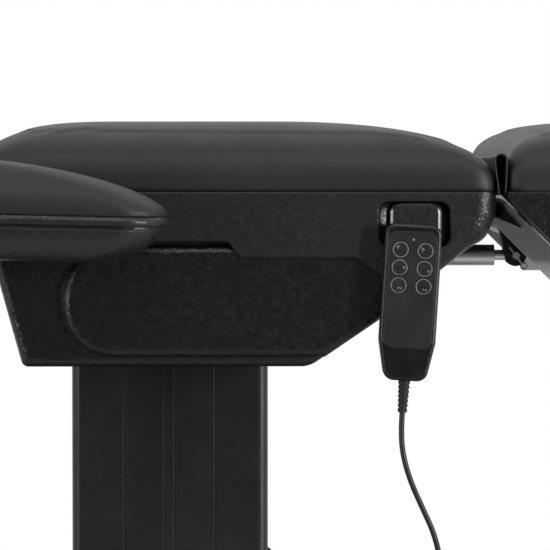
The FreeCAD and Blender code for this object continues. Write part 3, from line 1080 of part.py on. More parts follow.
def build_handset():
    half_width_x, half_length = dim.handset_width / 2, dim.handset_length / 2
    half_depth = dim.handset_thickness / 2
    chin_x, chin_z = half_width_x - dim.handset_chin, dim.handset_taper - half_length
    outline = [(-half_width_x, half_length), (-half_width_x, chin_z), (-chin_x, -half_length),
               (chin_x, -half_length), (half_width_x, chin_z), (half_width_x, half_length)]

    def housing(name, y):
        body = side_body(name, outline, y)
        round_edges(body, name + "_corner", dim.handset_round, lambda edge: spans(edge, "Y")
                    and abs(abs(edge.Vertexes[0].Point.z) - mm(half_length)) < 1e-6)
        outer_face = mm(half_depth) / 2 * (-1 if mm(y[0]) < -1 else 1)
        round_edges(body, name + "_edge", 4, lambda edge: all(
            abs(vertex.Point.y - outer_face) < 1e-6 for vertex in edge.Vertexes))
        return body

    front = housing("hand_front", (-half_depth, as_size(0)))
    back = housing("hand_back", (as_size(0), half_depth))
    panel_top = half_length - dim.panel_top_rim
    panel_low = panel_top - dim.panel_length
    half_panel = dim.panel_width / 2
    face = -half_depth
    panel_outline = [(-half_panel, panel_low), (half_panel, panel_low), (half_panel, panel_top),
                     (-half_panel, panel_top)]

    def panel_body(name, y):
        body = side_body(name, panel_outline, y)
        round_edges(body, name + "_corner", dim.handset_round - 4, lambda edge: spans(edge, "Y"))
        return body

    seat = panel_body("hand_panel_seat", (face - 1, face + dim.panel_thickness))
    panel = panel_body("hand_panel", (face, face + dim.panel_thickness))
    wells = []
    key_floor = face + dim.key_depth + dim.key_travel + dim.key_gap
    key_rows = ("back", "leg", "height")
    for row, motion in enumerate(key_rows):
        for column, way in ((-1, "up"), (1, "down")):
            x = dim.key_pitch_x / 2 * column
            z = half_length - dim.key_first - dim.key_pitch_z * row
            wells.append(rod(f"well_{motion}_{way}", "Y", (x, face - 1, z), key_floor - face + 1,
                             dim.key_radius + dim.key_gap))
            cap = rod(f"cap_{motion}_{way}", "Y", (x, face - dim.key_proud, z), dim.key_cap + dim.key_proud,
                      dim.key_radius)
            plunger = rod(f"plunger_{motion}_{way}", "Y", (x, face, z), dim.key_depth, dim.key_radius * 0.4)
            key = fuse(f"key_{motion}_{way}", [cap, plunger])
            in_hand(key, f"key_{motion}_{way}_cap")
    lamp_z = half_length - dim.lamp_drop
    lamp_hole = rod("lamp_hole", "Y", (0, face - 1, lamp_z), dim.panel_thickness + 2,
                    dim.lamp_radius + dim.running_gap)
    lamp_well = rod("lamp_well", "Y", (0, face + dim.panel_thickness, lamp_z), dim.key_depth,
                    dim.lamp_radius * 2 + dim.running_gap)
    lens = rod("lamp_lens", "Y", (0, face - 0.2, lamp_z), dim.panel_thickness + 1, dim.lamp_radius)
    lamp_base = rod("lamp_base", "Y", (0, face + dim.panel_thickness, lamp_z), dim.key_depth,
                    dim.lamp_radius * 2)
    in_hand(fuse("lamp", [lens, lamp_base]), "handset_lamp")
    openings = fuse("hand_openings", wells + [lamp_hole])
    in_hand(cut("hand_front_open", front, [seat, openings, lamp_well]), "handset_front")
    in_hand(cut("hand_panel_open", panel, [openings]), "handset_panel")
    hook_slot = box("hand_hook_slot", (-14, 14), (half_depth - 3, half_depth + 1),
                    (half_length - 26, half_length - 12))
    in_hand(cut("hand_back_shell", back, [hook_slot]), "handset_back")
    build_strain_relief(-half_length)


def build_strain_relief(top):
    """Tapered sleeve with ribs, turned about the handset's long axis."""
    body = new_body("relief")
    sketch = new_sketch(body, "relief_profile", "XZ_Plane")
    pitch = dim.relief_length / (RELIEF_RIBS + 1)
    taper = (dim.relief_top - dim.relief_bottom) / dim.relief_length
    points = [(0, top), (dim.relief_top, top)]
    for rib in range(1, RELIEF_RIBS + 1):
        for share, step in ((0, 0), (0, 1), (0.4, 1), (0.4, 0)):
            drop = pitch * (rib + share - 0.2)
            points.append((dim.relief_top - taper * drop - dim.relief_rib * step, top - drop))
    points += [(dim.relief_bottom, top - dim.relief_length), (0, top - dim.relief_length)]
    draw_polygon(sketch, points)
    turn = body.newObject("PartDesign::Revolution", "relief_turn")
    turn.Profile = sketch
    turn.ReferenceAxis = (sketch, ["V_Axis"])
    turn.Angle = 360
    in_hand(body, "strain_relief")


# The cord hangs from the strain relief's end, then rises to the gland behind the column.
# Offsets from each end, in mm; the rise's x is in half widths of the column that it passes.
CORD_HANG = [
    (-0.1, 0.0, -0.2), (-1.4, -0.2, -22.2), (0.8, -1.6, -46.4), (8.5, -4.0, -72.9),
    (20.5, -6.2, -99.9), (34.0, -6.6, -128.9), (41.3, -3.5, -160.9), (40.5, 6.0, -192.4),
    (31.0, 24.5, -217.9), (12.0, 55.0, -234.4), (-11.5, 94.0, -242.9), (-35.5, 136.5, -245.7),
]
CORD_RISE = [
    (1.685, -265.0, -269.0), (1.509, -218.0, -265.0), (1.375, -169.0, -259.0), (1.269, -119.0, -251.5),
    (1.153, -73.0, -242.0), (0.981, -36.0, -228.0), (0.759, -12.0, -208.0), (0.528, 0.5, -181.5),
    (0.324, 5.0, -149.0), (0.167, 5.0, -113.0), (0.065, 3.0, -75.0), (0.013, 1.0, -37.0),
    (0.0, 0.0, -0.4),
]


def cord_route():
    lean = math.radians(mm(dim.handset_lean))
    reach = mm(dim.handset_length / 2 + dim.relief_length)
    relief = FreeCAD.Vector(mm(handset_x) - reach * math.sin(lean), -mm(handset_y),
                            mm(handset_z) - reach * math.cos(lean))
    gland = FreeCAD.Vector(mm(dim.gland_x), mm(dim.gland_y), mm(shell_bottom - dim.gland_length))
    column_half = mm(dim.column_width) / 2
    hang = [relief + FreeCAD.Vector(*offset) for offset in CORD_HANG]
    return hang + [gland + FreeCAD.Vector(x * column_half, y, z) for x, y, z in CORD_RISE]


def build_cord():
    """Round cord along straight runs joined by tangent arcs, from the strain relief to the gland."""
    points = cord_route()
    edges = []
    radii = []
    run_start = points[0]
    for before, corner, after in zip(points, points[1:], points[2:]):
        into, out = (corner - before), (after - corner)
        shorter = min(into.Length, out.Length)
        into.normalize()
        out.normalize()
        half_turn = into.getAngle(out) / 2
        setback = 0.45 * shorter
        radius = setback / math.tan(half_turn)
        radii.append(radius)
        arc_start, arc_end = corner - into * setback, corner + out * setback
        bisector = (out - into).normalize()
        arc_middle = corner + bisector * (radius / math.cos(half_turn) - radius)
        edges.append(Part.LineSegment(run_start, arc_start).toShape())
        edges.append(Part.Arc(arc_start, arc_middle, arc_end).toShape())
        run_start = arc_end
    edges.append(Part.LineSegment(run_start, points[-1]).toShape())
    path = Part.Wire(edges)
    section = Part.Wire(Part.Circle(points[0], points[1] - points[0], mm(dim.cord_diameter) / 2).toShape())
    cord = doc.addObject("Part::Feature", "cord")
    cord.Shape = path.makePipeShell([section], True, False)
    cord.Placement = FreeCAD.Placement()
    piece(cord, "handset_cord")
    area = math.pi * (mm(dim.cord_diameter) / 2) ** 2
    print("cord radii", " ".join(f"{radius:.0f}" for radius in radii))
    print(f"cord length {path.Length:.1f}, volume over section times length "
          f"{cord.Shape.Volume / (area * path.Length):.4f}")

    collar = rod("gland_collar", "Z", (dim.gland_x, dim.gland_y, shell_bottom - 8), 8, dim.gland_radius)
    neck = rod("gland_neck", "Z", (dim.gland_x, dim.gland_y, shell_bottom - 1), dim.shell_wall + 6, 6)
    tail = doc.addObject("Part::Cone", "gland_tail")
    bind(tail, "Radius1", dim.cord_diameter * 0.75)
    bind(tail, "Radius2", dim.gland_radius - 1)
    bind(tail, "Height", dim.gland_length - 8)
    place(tail, dim.gland_x, dim.gland_y, shell_bottom - dim.gland_length)
    piece(fuse("gland", [collar, neck, tail]), "cord_gland")


def build_seat_cushion():
    outline = (-dim.seat_rear, dim.seat_front, half_width, dim.seat_corner)
    piece(crowned("seat_pad", seam, outline, dim.cushion_height, cushion_tuck,
                  (dim.seat_crown_rear, SOFT_EDGE),
                  (dim.seat_crown_front, WORN_EDGE), (dim.crown_side, FULL_EDGE)), "seat_cushion")


def write_parts():
    doc.recompute()
    for thing in doc.Objects:
        if "Invalid" in thing.State or "Error" in thing.State:
            raise RuntimeError(f"{thing.Label} failed: {thing.getStatusString()}")
    for thing in pieces:
        if thing.Shape.isNull() or not thing.Shape.isValid():
            raise RuntimeError(f"{thing.Label} has no valid shape")
    os.makedirs("parts", exist_ok=True)
    for thing in pieces:
        thing.Shape.exportStep(f"parts/{thing.Label}.step")
        box_of = thing.Shape.BoundBox
        print(f"{thing.Label}: {len(thing.Shape.Solids)} solids, {thing.Shape.Volume / 1000:.1f} cm3, "
              f"x {box_of.XMin:.1f}..{box_of.XMax:.1f} y {box_of.YMin:.1f}..{box_of.YMax:.1f} "
              f"z {box_of.ZMin:.1f}..{box_of.ZMax:.1f}")


build_column(build_floor_unit())
build_seat_frame()
build_seat_shell()
build_seat_cushion()
build_actuator("leg", dim.leg_drive_x, -dim.leg_drive_y, leg_drive_z, dim.leg_drive_x + dim.leg_tube_length,
               dim.leg_rod_radius + dim.leg_rod_room, 1)
build_actuator("back", dim.back_drive_x, dim.back_drive_y, back_drive_z,
               dim.back_drive_x - dim.back_tube_length, dim.back_rod_radius + dim.back_rod_room, -1)
build_rod("leg", leg_pin_x, -dim.leg_drive_y, leg_rod_z, dim.leg_rod_radius, dim.leg_rod_length, 1)
build_rod("back", -back_pin_x, dim.back_drive_y, back_rod_z, dim.back_rod_radius, dim.back_rod_length, -1)
build_legrest()
build_flap()
build_backrest()
build_headrest()
for turn_sign, turn_side in ((-1, "right"), (1, "left")):
    build_armrest(turn_sign, turn_side)
build_handset()
build_cord()
write_parts()
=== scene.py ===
import math

import bmesh
import bpy
from mathutils import Matrix, Vector


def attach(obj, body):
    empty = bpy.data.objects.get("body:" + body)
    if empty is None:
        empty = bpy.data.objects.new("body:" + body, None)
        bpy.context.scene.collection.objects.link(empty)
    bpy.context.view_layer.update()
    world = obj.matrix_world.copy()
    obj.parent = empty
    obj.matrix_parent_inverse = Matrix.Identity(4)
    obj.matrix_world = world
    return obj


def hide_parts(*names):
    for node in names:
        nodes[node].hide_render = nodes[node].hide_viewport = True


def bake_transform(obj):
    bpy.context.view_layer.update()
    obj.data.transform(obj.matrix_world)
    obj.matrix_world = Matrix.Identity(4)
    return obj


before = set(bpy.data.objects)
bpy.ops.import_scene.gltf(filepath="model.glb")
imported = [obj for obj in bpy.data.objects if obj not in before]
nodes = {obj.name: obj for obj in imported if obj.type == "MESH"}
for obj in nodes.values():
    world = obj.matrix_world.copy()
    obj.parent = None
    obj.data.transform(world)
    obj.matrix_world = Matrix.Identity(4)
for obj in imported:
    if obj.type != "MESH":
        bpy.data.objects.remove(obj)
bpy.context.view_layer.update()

MM = 0.001

# The chair lies flat, black leatherette over moulded black shells, seen square from its right side.

GLOSS_IOR = 1.5
BEVEL_SAMPLES = 4
PATCH_DETAIL = 3
# The part of its range that a noise texture mostly fills.
NOISE_LOW, NOISE_HIGH = 0.3, 0.7


def linear(hex_colour):
    """A written sRGB colour as the linear one that a shader takes."""
    parts = [int(hex_colour[i:i + 2], 16) / 255 for i in (1, 3, 5)]
    curved = [((part + 0.055) / 1.055) ** 2.4 for part in parts]
    return tuple(part / 12.92 if part <= 0.04045 else bent for part, bent in zip(parts, curved)) + (1,)


def add_node(tree, kind, inputs=None, **settings):
    """Adds one node; an input is a number, a colour or the socket that feeds it."""
    node = tree.nodes.new(kind)
    for name, value in settings.items():
        setattr(node, name, value)
    for name, value in (inputs or {}).items():
        if isinstance(value, bpy.types.NodeSocket):
            tree.links.new(value, node.inputs[name])
        else:
            node.inputs[name].default_value = value
    return node


def new_finish(name, colour, **sockets):
    """A named material with its constant values set; returns it with its tree, shader and surface place."""
    material = bpy.data.materials.new(name)
    material.use_nodes = True
    tree = material.node_tree
    shader = tree.nodes["Principled BSDF"]
    shader.inputs["Base Color"].default_value = linear(colour)
    for socket, value in sockets.items():
        shader.inputs[socket].default_value = value
    place = add_node(tree, "ShaderNodeTexCoord").outputs["Object"]
    return material, tree, shader, place


def noise(tree, place, size, detail):
    """Soft noise over the surface, in patches of a given size in metres."""
    inputs = {"Vector": place, "Scale": 1 / size, "Detail": detail}
    return add_node(tree, "ShaderNodeTexNoise", inputs).outputs["Fac"]


def vary_roughness(tree, shader, place, size, low, high):
    """Patches of a given size in metres that move the roughness between low and high."""
    patches = noise(tree, place, size, PATCH_DETAIL)
    inputs = {"Value": patches, "From Min": NOISE_LOW, "From Max": NOISE_HIGH, "To Min": low, "To Max": high}
    spread = add_node(tree, "ShaderNodeMapRange", inputs)
    tree.links.new(spread.outputs["Result"], shader.inputs["Roughness"])


def two_tone(tree, shader, share, dark, pale, start=0, end=1):
    """Colours the surface from dark to pale as a share goes from start to end."""
    ramp = add_node(tree, "ShaderNodeValToRGB", {"Fac": share})
    first, last = ramp.color_ramp.elements
    first.position, first.color = start, linear(dark)
    last.position, last.color = end, linear(pale)
    tree.links.new(ramp.outputs["Color"], shader.inputs["Base Color"])


def relief(tree, shader, layers, edge=0):
    """Bump layers of (height socket, depth in metres, strength), over edges eased by a radius in metres."""
    normal = None
    if edge:
        normal = add_node(tree, "ShaderNodeBevel", {"Radius": edge}, samples=BEVEL_SAMPLES).outputs["Normal"]
    for height, depth, strength in layers:
        inputs = {"Height": height, "Distance": depth, "Strength": strength}
        if normal:
            inputs["Normal"] = normal
        normal = add_node(tree, "ShaderNodeBump", inputs).outputs["Normal"]
    tree.links.new(normal, shader.inputs["Normal"])


def make_leatherette():
    # Polyurethane leatherette, calendered almost smooth: a soft satin sheen with hair-cell grain under 1 mm,
    # drawn at 1.3 mm so that it shows, slow dents where the foam gives, and a slow drift of the dye.
    drift, hair_cell, dent = 0.12, 0.0013, 0.07
    material, tree, shader, place = new_finish("black_leatherette", "#18181a", Roughness=0.54, IOR=GLOSS_IOR)
    dye = noise(tree, place, drift, PATCH_DETAIL)
    two_tone(tree, shader, dye, "#161618", "#1a1a1c", start=0.35, end=0.65)
    vary_roughness(tree, shader, place, size=0.09, low=0.5, high=0.58)
    grain = {"Vector": place, "Scale": 1 / hair_cell}
    cells = add_node(tree, "ShaderNodeTexVoronoi", grain, feature="SMOOTH_F1").outputs["Distance"]
    dents = noise(tree, place, dent, detail=2)
    relief(tree, shader, [(dents, 0.003, 0.25), (cells, 0.0002, 0.25)])
    return material


# How far from the chair's middle plane, in metres, the grained plastic turns from its dark colour to a little
# paler: painted light on the outermost faces, so that the walls set back look shaded.
PAINTED_LIGHT_START, PAINTED_LIGHT_FULL = 0.2875, 0.2895


def make_grained_abs(name, edge):
    # Vacuum-formed ABS with a pebble grain about 1 mm across, drawn at 1.4 mm: each pebble leans its own way
    # and keeps a tiny highlight, so lit edges sparkle while walls turned away stay deep black. The outermost
    # faces, which are the seat's skirt and the arm shells, get painted light: they are coloured a little paler
    # than the walls set back, which are left to read as in shade.
    pebble, tilt = 0.0014, 0.27
    material, tree, shader, place = new_finish(name, "#101011", Roughness=0.4, IOR=GLOSS_IOR)
    across = add_node(tree, "ShaderNodeSeparateXYZ", {"Vector": place}).outputs["Y"]
    from_middle = add_node(tree, "ShaderNodeMath", {0: across}, operation="ABSOLUTE").outputs["Value"]
    inputs = {"Value": from_middle, "From Min": PAINTED_LIGHT_START, "From Max": PAINTED_LIGHT_FULL}
    painted_light_share = add_node(tree, "ShaderNodeMapRange", inputs).outputs["Result"]
    # Painted light: the outermost faces take the paler colour, and the walls set back keep the dark one as
    # painted shade.
    two_tone(tree, shader, painted_light_share, "#101011", "#222223")
    vary_roughness(tree, shader, place, size=0.006, low=0.28, high=0.4)
    eased = add_node(tree, "ShaderNodeBevel", {"Radius": edge}, samples=BEVEL_SAMPLES).outputs["Normal"]
    pebbles = add_node(tree, "ShaderNodeTexVoronoi", {"Vector": place, "Scale": 1 / pebble}, feature="F1")
    inputs = {0: pebbles.outputs["Color"], 1: (0.5, 0.5, 0.5)}
    lean = add_node(tree, "ShaderNodeVectorMath", inputs, operation="SUBTRACT").outputs["Vector"]
    inputs = {0: lean, 1: (tilt, tilt, tilt), 2: eased}
    leaned = add_node(tree, "ShaderNodeVectorMath", inputs, operation="MULTIPLY_ADD").outputs["Vector"]
    normal = add_node(tree, "ShaderNodeVectorMath", {0: leaned}, operation="NORMALIZE").outputs["Vector"]
    tree.links.new(normal, shader.inputs["Normal"])
    return material


def make_enamel(name, colour, roughness, peel):
    # Baked powder enamel: even and satin, with the faint orange peel of the melted powder.
    material, tree, shader, place = new_finish(name, colour, Roughness=roughness, IOR=GLOSS_IOR)
    vary_roughness(tree, shader, place, size=0.05, low=roughness - 0.05, high=roughness + 0.05)
    powder = noise(tree, place, peel, detail=3)
    relief(tree, shader, [(powder, 0.0003, 0.2)], edge=0.0012)
    return material


def make_steel(name, colour, roughness, grain):
    # Plated steel: bright and blurred, with drawn lines along the bar from the rolls.
    material, tree, shader, place = new_finish(name, colour, Metallic=1.0, Roughness=roughness)
    drawn = add_node(tree, "ShaderNodeMapping", {"Vector": place, "Scale": (0.06, 1, 1)}).outputs["Vector"]
    lines = noise(tree, drawn, grain, detail=4)
    inputs = {"Value": lines, "To Min": roughness - 0.08, "To Max": roughness + 0.1}
    spread = add_node(tree, "ShaderNodeMapRange", inputs)
    tree.links.new(spread.outputs["Result"], shader.inputs["Roughness"])
    relief(tree, shader, [(lines, 0.0002, 0.15)], edge=0.0008)
    return material


def make_smooth_plastic(name, colour, roughness, grain):
    # Injection-moulded plastic from a fine spark-eroded tool: an even, dry gloss with a dusty fine grain.
    material, tree, shader, place = new_finish(name, colour, Roughness=roughness, IOR=GLOSS_IOR)
    vary_roughness(tree, shader, place, size=0.02, low=roughness - 0.05, high=roughness + 0.05)
    sparks = noise(tree, place, grain, detail=2)
    relief(tree, shader, [(sparks, 0.0002, 0.2)], edge=0.0012)
    return material


def make_stained_plywood():
    # Birch plywood stained black so that no pale edge shows: long figure and a little shine from the stain.
    vein = 0.012
    name, colour = "black_stained_plywood", "#231f1c"
    material, tree, shader, place = new_finish(name, colour, Roughness=0.6, IOR=GLOSS_IOR)
    long_way = add_node(tree, "ShaderNodeMapping", {"Vector": place, "Scale": (0.12, 1, 1)}).outputs["Vector"]
    figure = noise(tree, long_way, vein, detail=6)
    two_tone(tree, shader, figure, "#1c1916", "#2a2521")
    relief(tree, shader, [(figure, 0.0004, 0.3)])
    return material


def make_flake_coat():
    # Zinc-flake coating dipped on the flat bars: matt silver grey, each flake a pale or dark speck;
    # the flakes are far under 0.1 mm and are drawn at 1.2 mm so that they show.
    flake = 0.0012
    material, tree, shader, place = new_finish("zinc_flake_coat", "#cfd1d3", Roughness=0.42, IOR=GLOSS_IOR)
    flakes = noise(tree, place, flake, detail=2)
    two_tone(tree, shader, flakes, "#b8babc", "#e2e4e6", start=0.3, end=0.7)
    relief(tree, shader, [(flakes, 0.0003, 0.3)], edge=0.0008)
    return material


leatherette = make_leatherette()
# Name and the radius in metres that the finish eases edges by.
grained_abs = make_grained_abs("grained_black_abs", 0.003)
pocket_abs = make_grained_abs("pocket_black_abs", 0.0006)
# Name, colour, roughness and the size of the grain in metres.
column_enamel = make_enamel("black_column_enamel", "#141415", 0.42, 0.0016)
frame_enamel = make_enamel("black_frame_enamel", "#17181a", 0.4, 0.0012)
flake_coat = make_flake_coat()
rod_steel = make_steel("ground_steel_rod", "#dcdee0", 0.36, 0.001)
zinc_steel = make_steel("bright_zinc_steel", "#d2d4d6", 0.5, 0.0012)
oxide_steel = make_steel("black_oxide_steel", "#232425", 0.45, 0.0012)
drive_nylon = make_smooth_plastic("black_drive_nylon", "#1a1b1c", 0.5, 0.0012)
handset_abs = make_smooth_plastic("black_handset_abs", "#0b0b0c", 0.36, 0.0009)
membrane_film = make_smooth_plastic("grey_membrane_film", "#26272a", 0.36, 0.0008)
printed_ring = make_smooth_plastic("pale_printed_ring", "#c4c5c6", 0.5, 0.0008)
printed_figure = make_smooth_plastic("dark_printed_figure", "#232426", 0.5, 0.0008)
rubbed_abs = make_smooth_plastic("rubbed_black_abs", "#151516", 0.2, 0.0009)
cord_pvc = make_smooth_plastic("black_cord_pvc", "#151516", 0.42, 0.0009)
soft_rubber = make_smooth_plastic("black_rubber", "#161616", 0.62, 0.001)
lens_plastic = make_smooth_plastic("pale_lamp_lens", "#9a9b9c", 0.2, 0.0008)
inlet_plastic = make_smooth_plastic("black_inlet_plastic", "#121212", 0.4, 0.0009)
stained_plywood = make_stained_plywood()

FINISHES = {
    grained_abs: ["seat_shell", "handset_holder", "leg_shell", "back_shell", "headrest_shell",
                  "armrest_shell_left", "armrest_shell_right", "base_cover"],
    column_enamel: ["column_sleeve", "column_inner", "column_top_plate", "base_plate"],
    frame_enamel: ["seat_frame", "back_frame", "leg_clevis", "back_clevis", "arm_bracket_left",
                   "arm_bracket_right"],
    flake_coat: ["leg_bar_left", "leg_bar_right"],
    rod_steel: ["leg_rod", "back_rod", "headrest_posts", "lift_ram"],
    oxide_steel: ["pivot_pins"],
    zinc_steel: ["leg_clevis_pin", "leg_split_pin", "back_clevis_pin", "arm_pivot_bolts", "column_bolts"],
    drive_nylon: ["leg_actuator", "back_actuator", "lift_actuator", "control_box", "column_glides"],
    handset_abs: ["handset_front", "handset_back"],
    membrane_film: ["handset_panel"] + [name for name in nodes if name.startswith("key_")],
    lens_plastic: ["handset_lamp"],
    soft_rubber: ["strain_relief", "cord_gland", "levelling_feet"],
    inlet_plastic: ["power_inlet"],
    stained_plywood: ["seat_board", "leg_board", "back_board"],
}


def finish_rigid_pieces():
    for material, names in FINISHES.items():
        for name in names:
            thing = nodes[name]
            if not thing.material_slots:
                thing.data.materials.append(material)
            for slot in thing.material_slots:
                slot.material = material


def add_object(name, data):
    """Makes an object of its data and puts it in the scene."""
    thing = bpy.data.objects.new(name, data)
    bpy.context.collection.objects.link(thing)
    return thing


def aim_at(thing, place, target):
    """Stands a camera or a lamp at one place and turns it to another."""
    thing.location = place
    thing.rotation_euler = (Vector(target) - Vector(place)).to_track_quat("-Z", "Y").to_euler()


def settled_mesh(thing):
    """A copy of an object's mesh as its modifiers leave it."""
    depsgraph = bpy.context.evaluated_depsgraph_get()
    return bpy.data.meshes.new_from_object(thing.evaluated_get(depsgraph))


def mesh_of(form, name):
    """Turns a bmesh that is done with into a mesh."""
    mesh = bpy.data.meshes.new(name)
    form.to_mesh(mesh)
    form.free()
    return mesh


def new_piece(name, mesh, material):
    """Links a mesh as a smooth piece with one finish."""
    mesh.name = name
    mesh.materials.append(material)
    for face in mesh.polygons:
        face.use_smooth = True
    thing = add_object(name, mesh)
    return thing


# The camera's place and aim are in metres, and its angle of view in degrees.
CAMERA_PLACE = (0.060, -3.890, 0.806)
CAMERA_AIM = (0.1148, -0.290, 0.6389)
CAMERA_ANGLE = 9.25
CAMERA_REACH = 60


def set_camera():
    lens = bpy.data.cameras.new("side_camera")
    lens.angle = math.radians(CAMERA_ANGLE)
    lens.clip_end = CAMERA_REACH
    camera = add_object("side_camera", lens)
    aim_at(camera, CAMERA_PLACE, CAMERA_AIM)
    bpy.context.scene.camera = camera


# Handset cord, from the strain relief down past the shell and up behind the column to the gland, in metres.
CORD_ROUTE = [
    (0.2494, -0.3020, 0.4937), (0.2481, -0.3022, 0.4717), (0.2503, -0.3036, 0.4475),
    (0.2580, -0.3060, 0.4210), (0.2700, -0.3082, 0.3940), (0.2835, -0.3086, 0.3650),
    (0.2908, -0.3055, 0.3330), (0.2900, -0.2960, 0.3015), (0.2805, -0.2775, 0.2760),
    (0.2615, -0.2470, 0.2595), (0.2380, -0.2080, 0.2510), (0.2140, -0.1655, 0.2482),
    (0.1953, -0.1200, 0.2490), (0.1760, -0.0730, 0.2530), (0.1613, -0.0240, 0.2590),
    (0.1496, 0.0260, 0.2665), (0.1368, 0.0720, 0.2760), (0.1179, 0.1090, 0.2900),
    (0.0935, 0.1330, 0.3100), (0.0681, 0.1455, 0.3365), (0.0456, 0.1500, 0.3690),
    (0.0284, 0.1500, 0.4050), (0.0171, 0.1480, 0.4430), (0.0114, 0.1460, 0.4810),
    (0.0100, 0.1450, 0.5176),
]
CORD_DIAMETER = 0.006
STEPS_ALONG, STEPS_ROUND = 12, 5


def make_cord():
    line = bpy.data.curves.new("cord_line", "CURVE")
    line.dimensions = "3D"
    line.resolution_u = STEPS_ALONG
    spline = line.splines.new("NURBS")
    spline.points.add(len(CORD_ROUTE) - 1)
    for point, place in zip(spline.points, CORD_ROUTE):
        point.co = (*place, 1)
    spline.order_u = 3
    spline.use_endpoint_u = True
    holder = add_object("cord_line", line)
    bpy.context.view_layer.update()
    path = [vertex.co.copy() for vertex in bpy.data.meshes.new_from_object(holder).vertices]
    line.bevel_depth = CORD_DIAMETER / 2
    line.bevel_resolution = STEPS_ROUND
    bpy.context.view_layer.update()
    mesh = settled_mesh(holder)
    bpy.data.objects.remove(holder)
    cord = new_piece("handset_cord_tube", mesh, cord_pvc)
    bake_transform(cord)
    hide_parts("handset_cord")


# Padded pieces: the same crowned outline as the solid that each one replaces, then swollen as a sewn cover.
# An edge is how far in millimetres the crown draws in at the top, and the power of its curve.
TIGHT_EDGE, FULL_EDGE, SOFT_EDGE, WORN_EDGE, ROUND_EDGE, SLOPED_EDGE = 3.6, 3.0, 2.7, 2.3, 1.9, 1.63
CROWN_STEPS = 26
CORNER_STEPS = 9
CORNER_GROWTH = 0.6
LEAST_FLAT = 2
BELOW_SEAM = 5


def crown_inset(rise, reach, power):
    return reach * (1 - (1 - min(rise, 1) ** power) ** (1 / power))


def outline_ring(x_low, x_high, y_half, corner, z):
    """Points round a rectangle with rounded corners, at one height."""
    rear, front, side = x_low + corner, x_high - corner, y_half - corner
    ring = []
    corners = ((front, side, 0), (rear, side, 90), (rear, -side, 180), (front, -side, 270))
    for middle_x, middle_y, start in corners:
        for step in range(CORNER_STEPS + 1):
            turn = math.radians(start + 90 * step / CORNER_STEPS)
            ring.append(Vector((middle_x + corner * math.cos(turn), middle_y + corner * math.sin(turn), z)))
    return ring


def skin(form, rings, close_first=True):
    """Skins a row of rings in millimetres with quads and closes its ends; returns the faces of each band."""
    rows = [[form.verts.new(point * MM) for point in ring] for ring in rings]
    count = len(rows[0])
    bands = []
    for one, other in zip(rows, rows[1:]):
        bands.append([form.faces.new((one[i], one[(i + 1) % count], other[(i + 1) % count], other[i]))
                      for i in range(count)])
    if close_first:
        form.faces.new(rows[0][::-1])
    form.faces.new(rows[-1])
    return bands


def crowned_mesh(outline, height, tuck, low_edge, high_edge, side_edge, ease):
    """Closed crowned form from millimetres; ease draws it in so that it can swell to its outline."""
    x_low, x_high, y_half, corner = outline
    pinch, tuck_height = tuck
    edges = (low_edge, high_edge, side_edge)
    rings = [
        outline_ring(x_low + pinch + ease, x_high - pinch - ease, y_half - pinch - ease, corner, -BELOW_SEAM),
        outline_ring(x_low + ease, x_high - ease, y_half - ease, corner, tuck_height),
    ]
    for step in range(1, CROWN_STEPS + 1):
        rise = 1 - (1 - step / CROWN_STEPS) ** 2
        at_low, at_high, at_side = (crown_inset(rise, *edge) + ease for edge in edges)
        room = y_half - at_side
        half_length = (x_high - at_high - x_low - at_low) / 2
        radius = min(corner + at_side * CORNER_GROWTH, room - LEAST_FLAT, half_length - LEAST_FLAT)
        z = tuck_height + (height - ease - tuck_height) * rise
        rings.append(outline_ring(x_low + at_low, x_high - at_high, room, radius, z))
    form = bmesh.new()
    skin(form, rings)
    return mesh_of(form, "crowned")


# The cover as cloth: it swells under pressure without gravity and is held below a level near its seam.
COVER_PRESSURE = 4
COVER_STIFFNESS = 25
COVER_BENDING = 2
COVER_QUALITY = 4
SWELL_FRAMES = 20
# How far, in metres, the foam lets the cover sink in.
FOAM_GIVE = 0.0002


def swollen(mesh, voxel, held, cap):
    """Remeshes a form evenly and lets a cloth cover swell from it; the foam keeps it from sinking in."""
    thing = add_object("swelling", mesh)
    even = thing.modifiers.new("even", "REMESH")
    even.mode = "VOXEL"
    even.voxel_size = voxel
    evened = settled_mesh(thing)
    thing.modifiers.clear()
    thing.data = evened
    start = [(vertex.co.copy(), vertex.normal.copy()) for vertex in evened.vertices]
    seam_group = thing.vertex_groups.new(name="seam")
    seam_group.add([vertex.index for vertex in evened.vertices if vertex.co.z < held], 1, "REPLACE")
    cloth = thing.modifiers.new("cover", "CLOTH").settings
    cloth.quality = COVER_QUALITY
    cloth.use_pressure = True
    cloth.uniform_pressure_force = COVER_PRESSURE
    cloth.effector_weights.gravity = 0
    cloth.vertex_group_mass = "seam"
    cloth.tension_stiffness = COVER_STIFFNESS
    cloth.compression_stiffness = COVER_STIFFNESS
    cloth.bending_stiffness = COVER_BENDING
    scene = bpy.context.scene
    for number in range(1, SWELL_FRAMES + 1):
        scene.frame_set(number)
    moved = settled_mesh(thing)
    thing.modifiers.clear()
    scene.frame_set(1)
    for vertex, (before, outward) in zip(moved.vertices, start):
        rise = (vertex.co - before).dot(outward)
        vertex.co = before + outward * max(-FOAM_GIVE, min(rise, cap))
    thing.data = moved
    result = thing.data
    for vertex in result.vertices:
        vertex.co.z = max(vertex.co.z, 0)
    bpy.data.objects.remove(thing)
    result.update()
    return result


def dress_pad(name, mesh, node, body):
    """Makes a swollen cover the piece that stands for a padded node."""
    cover = new_piece(name, mesh, leatherette)
    smooth = cover.modifiers.new("smooth", "SUBSURF")
    smooth.levels = 1
    smooth.render_levels = 1
    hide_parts(node)
    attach(cover, body)


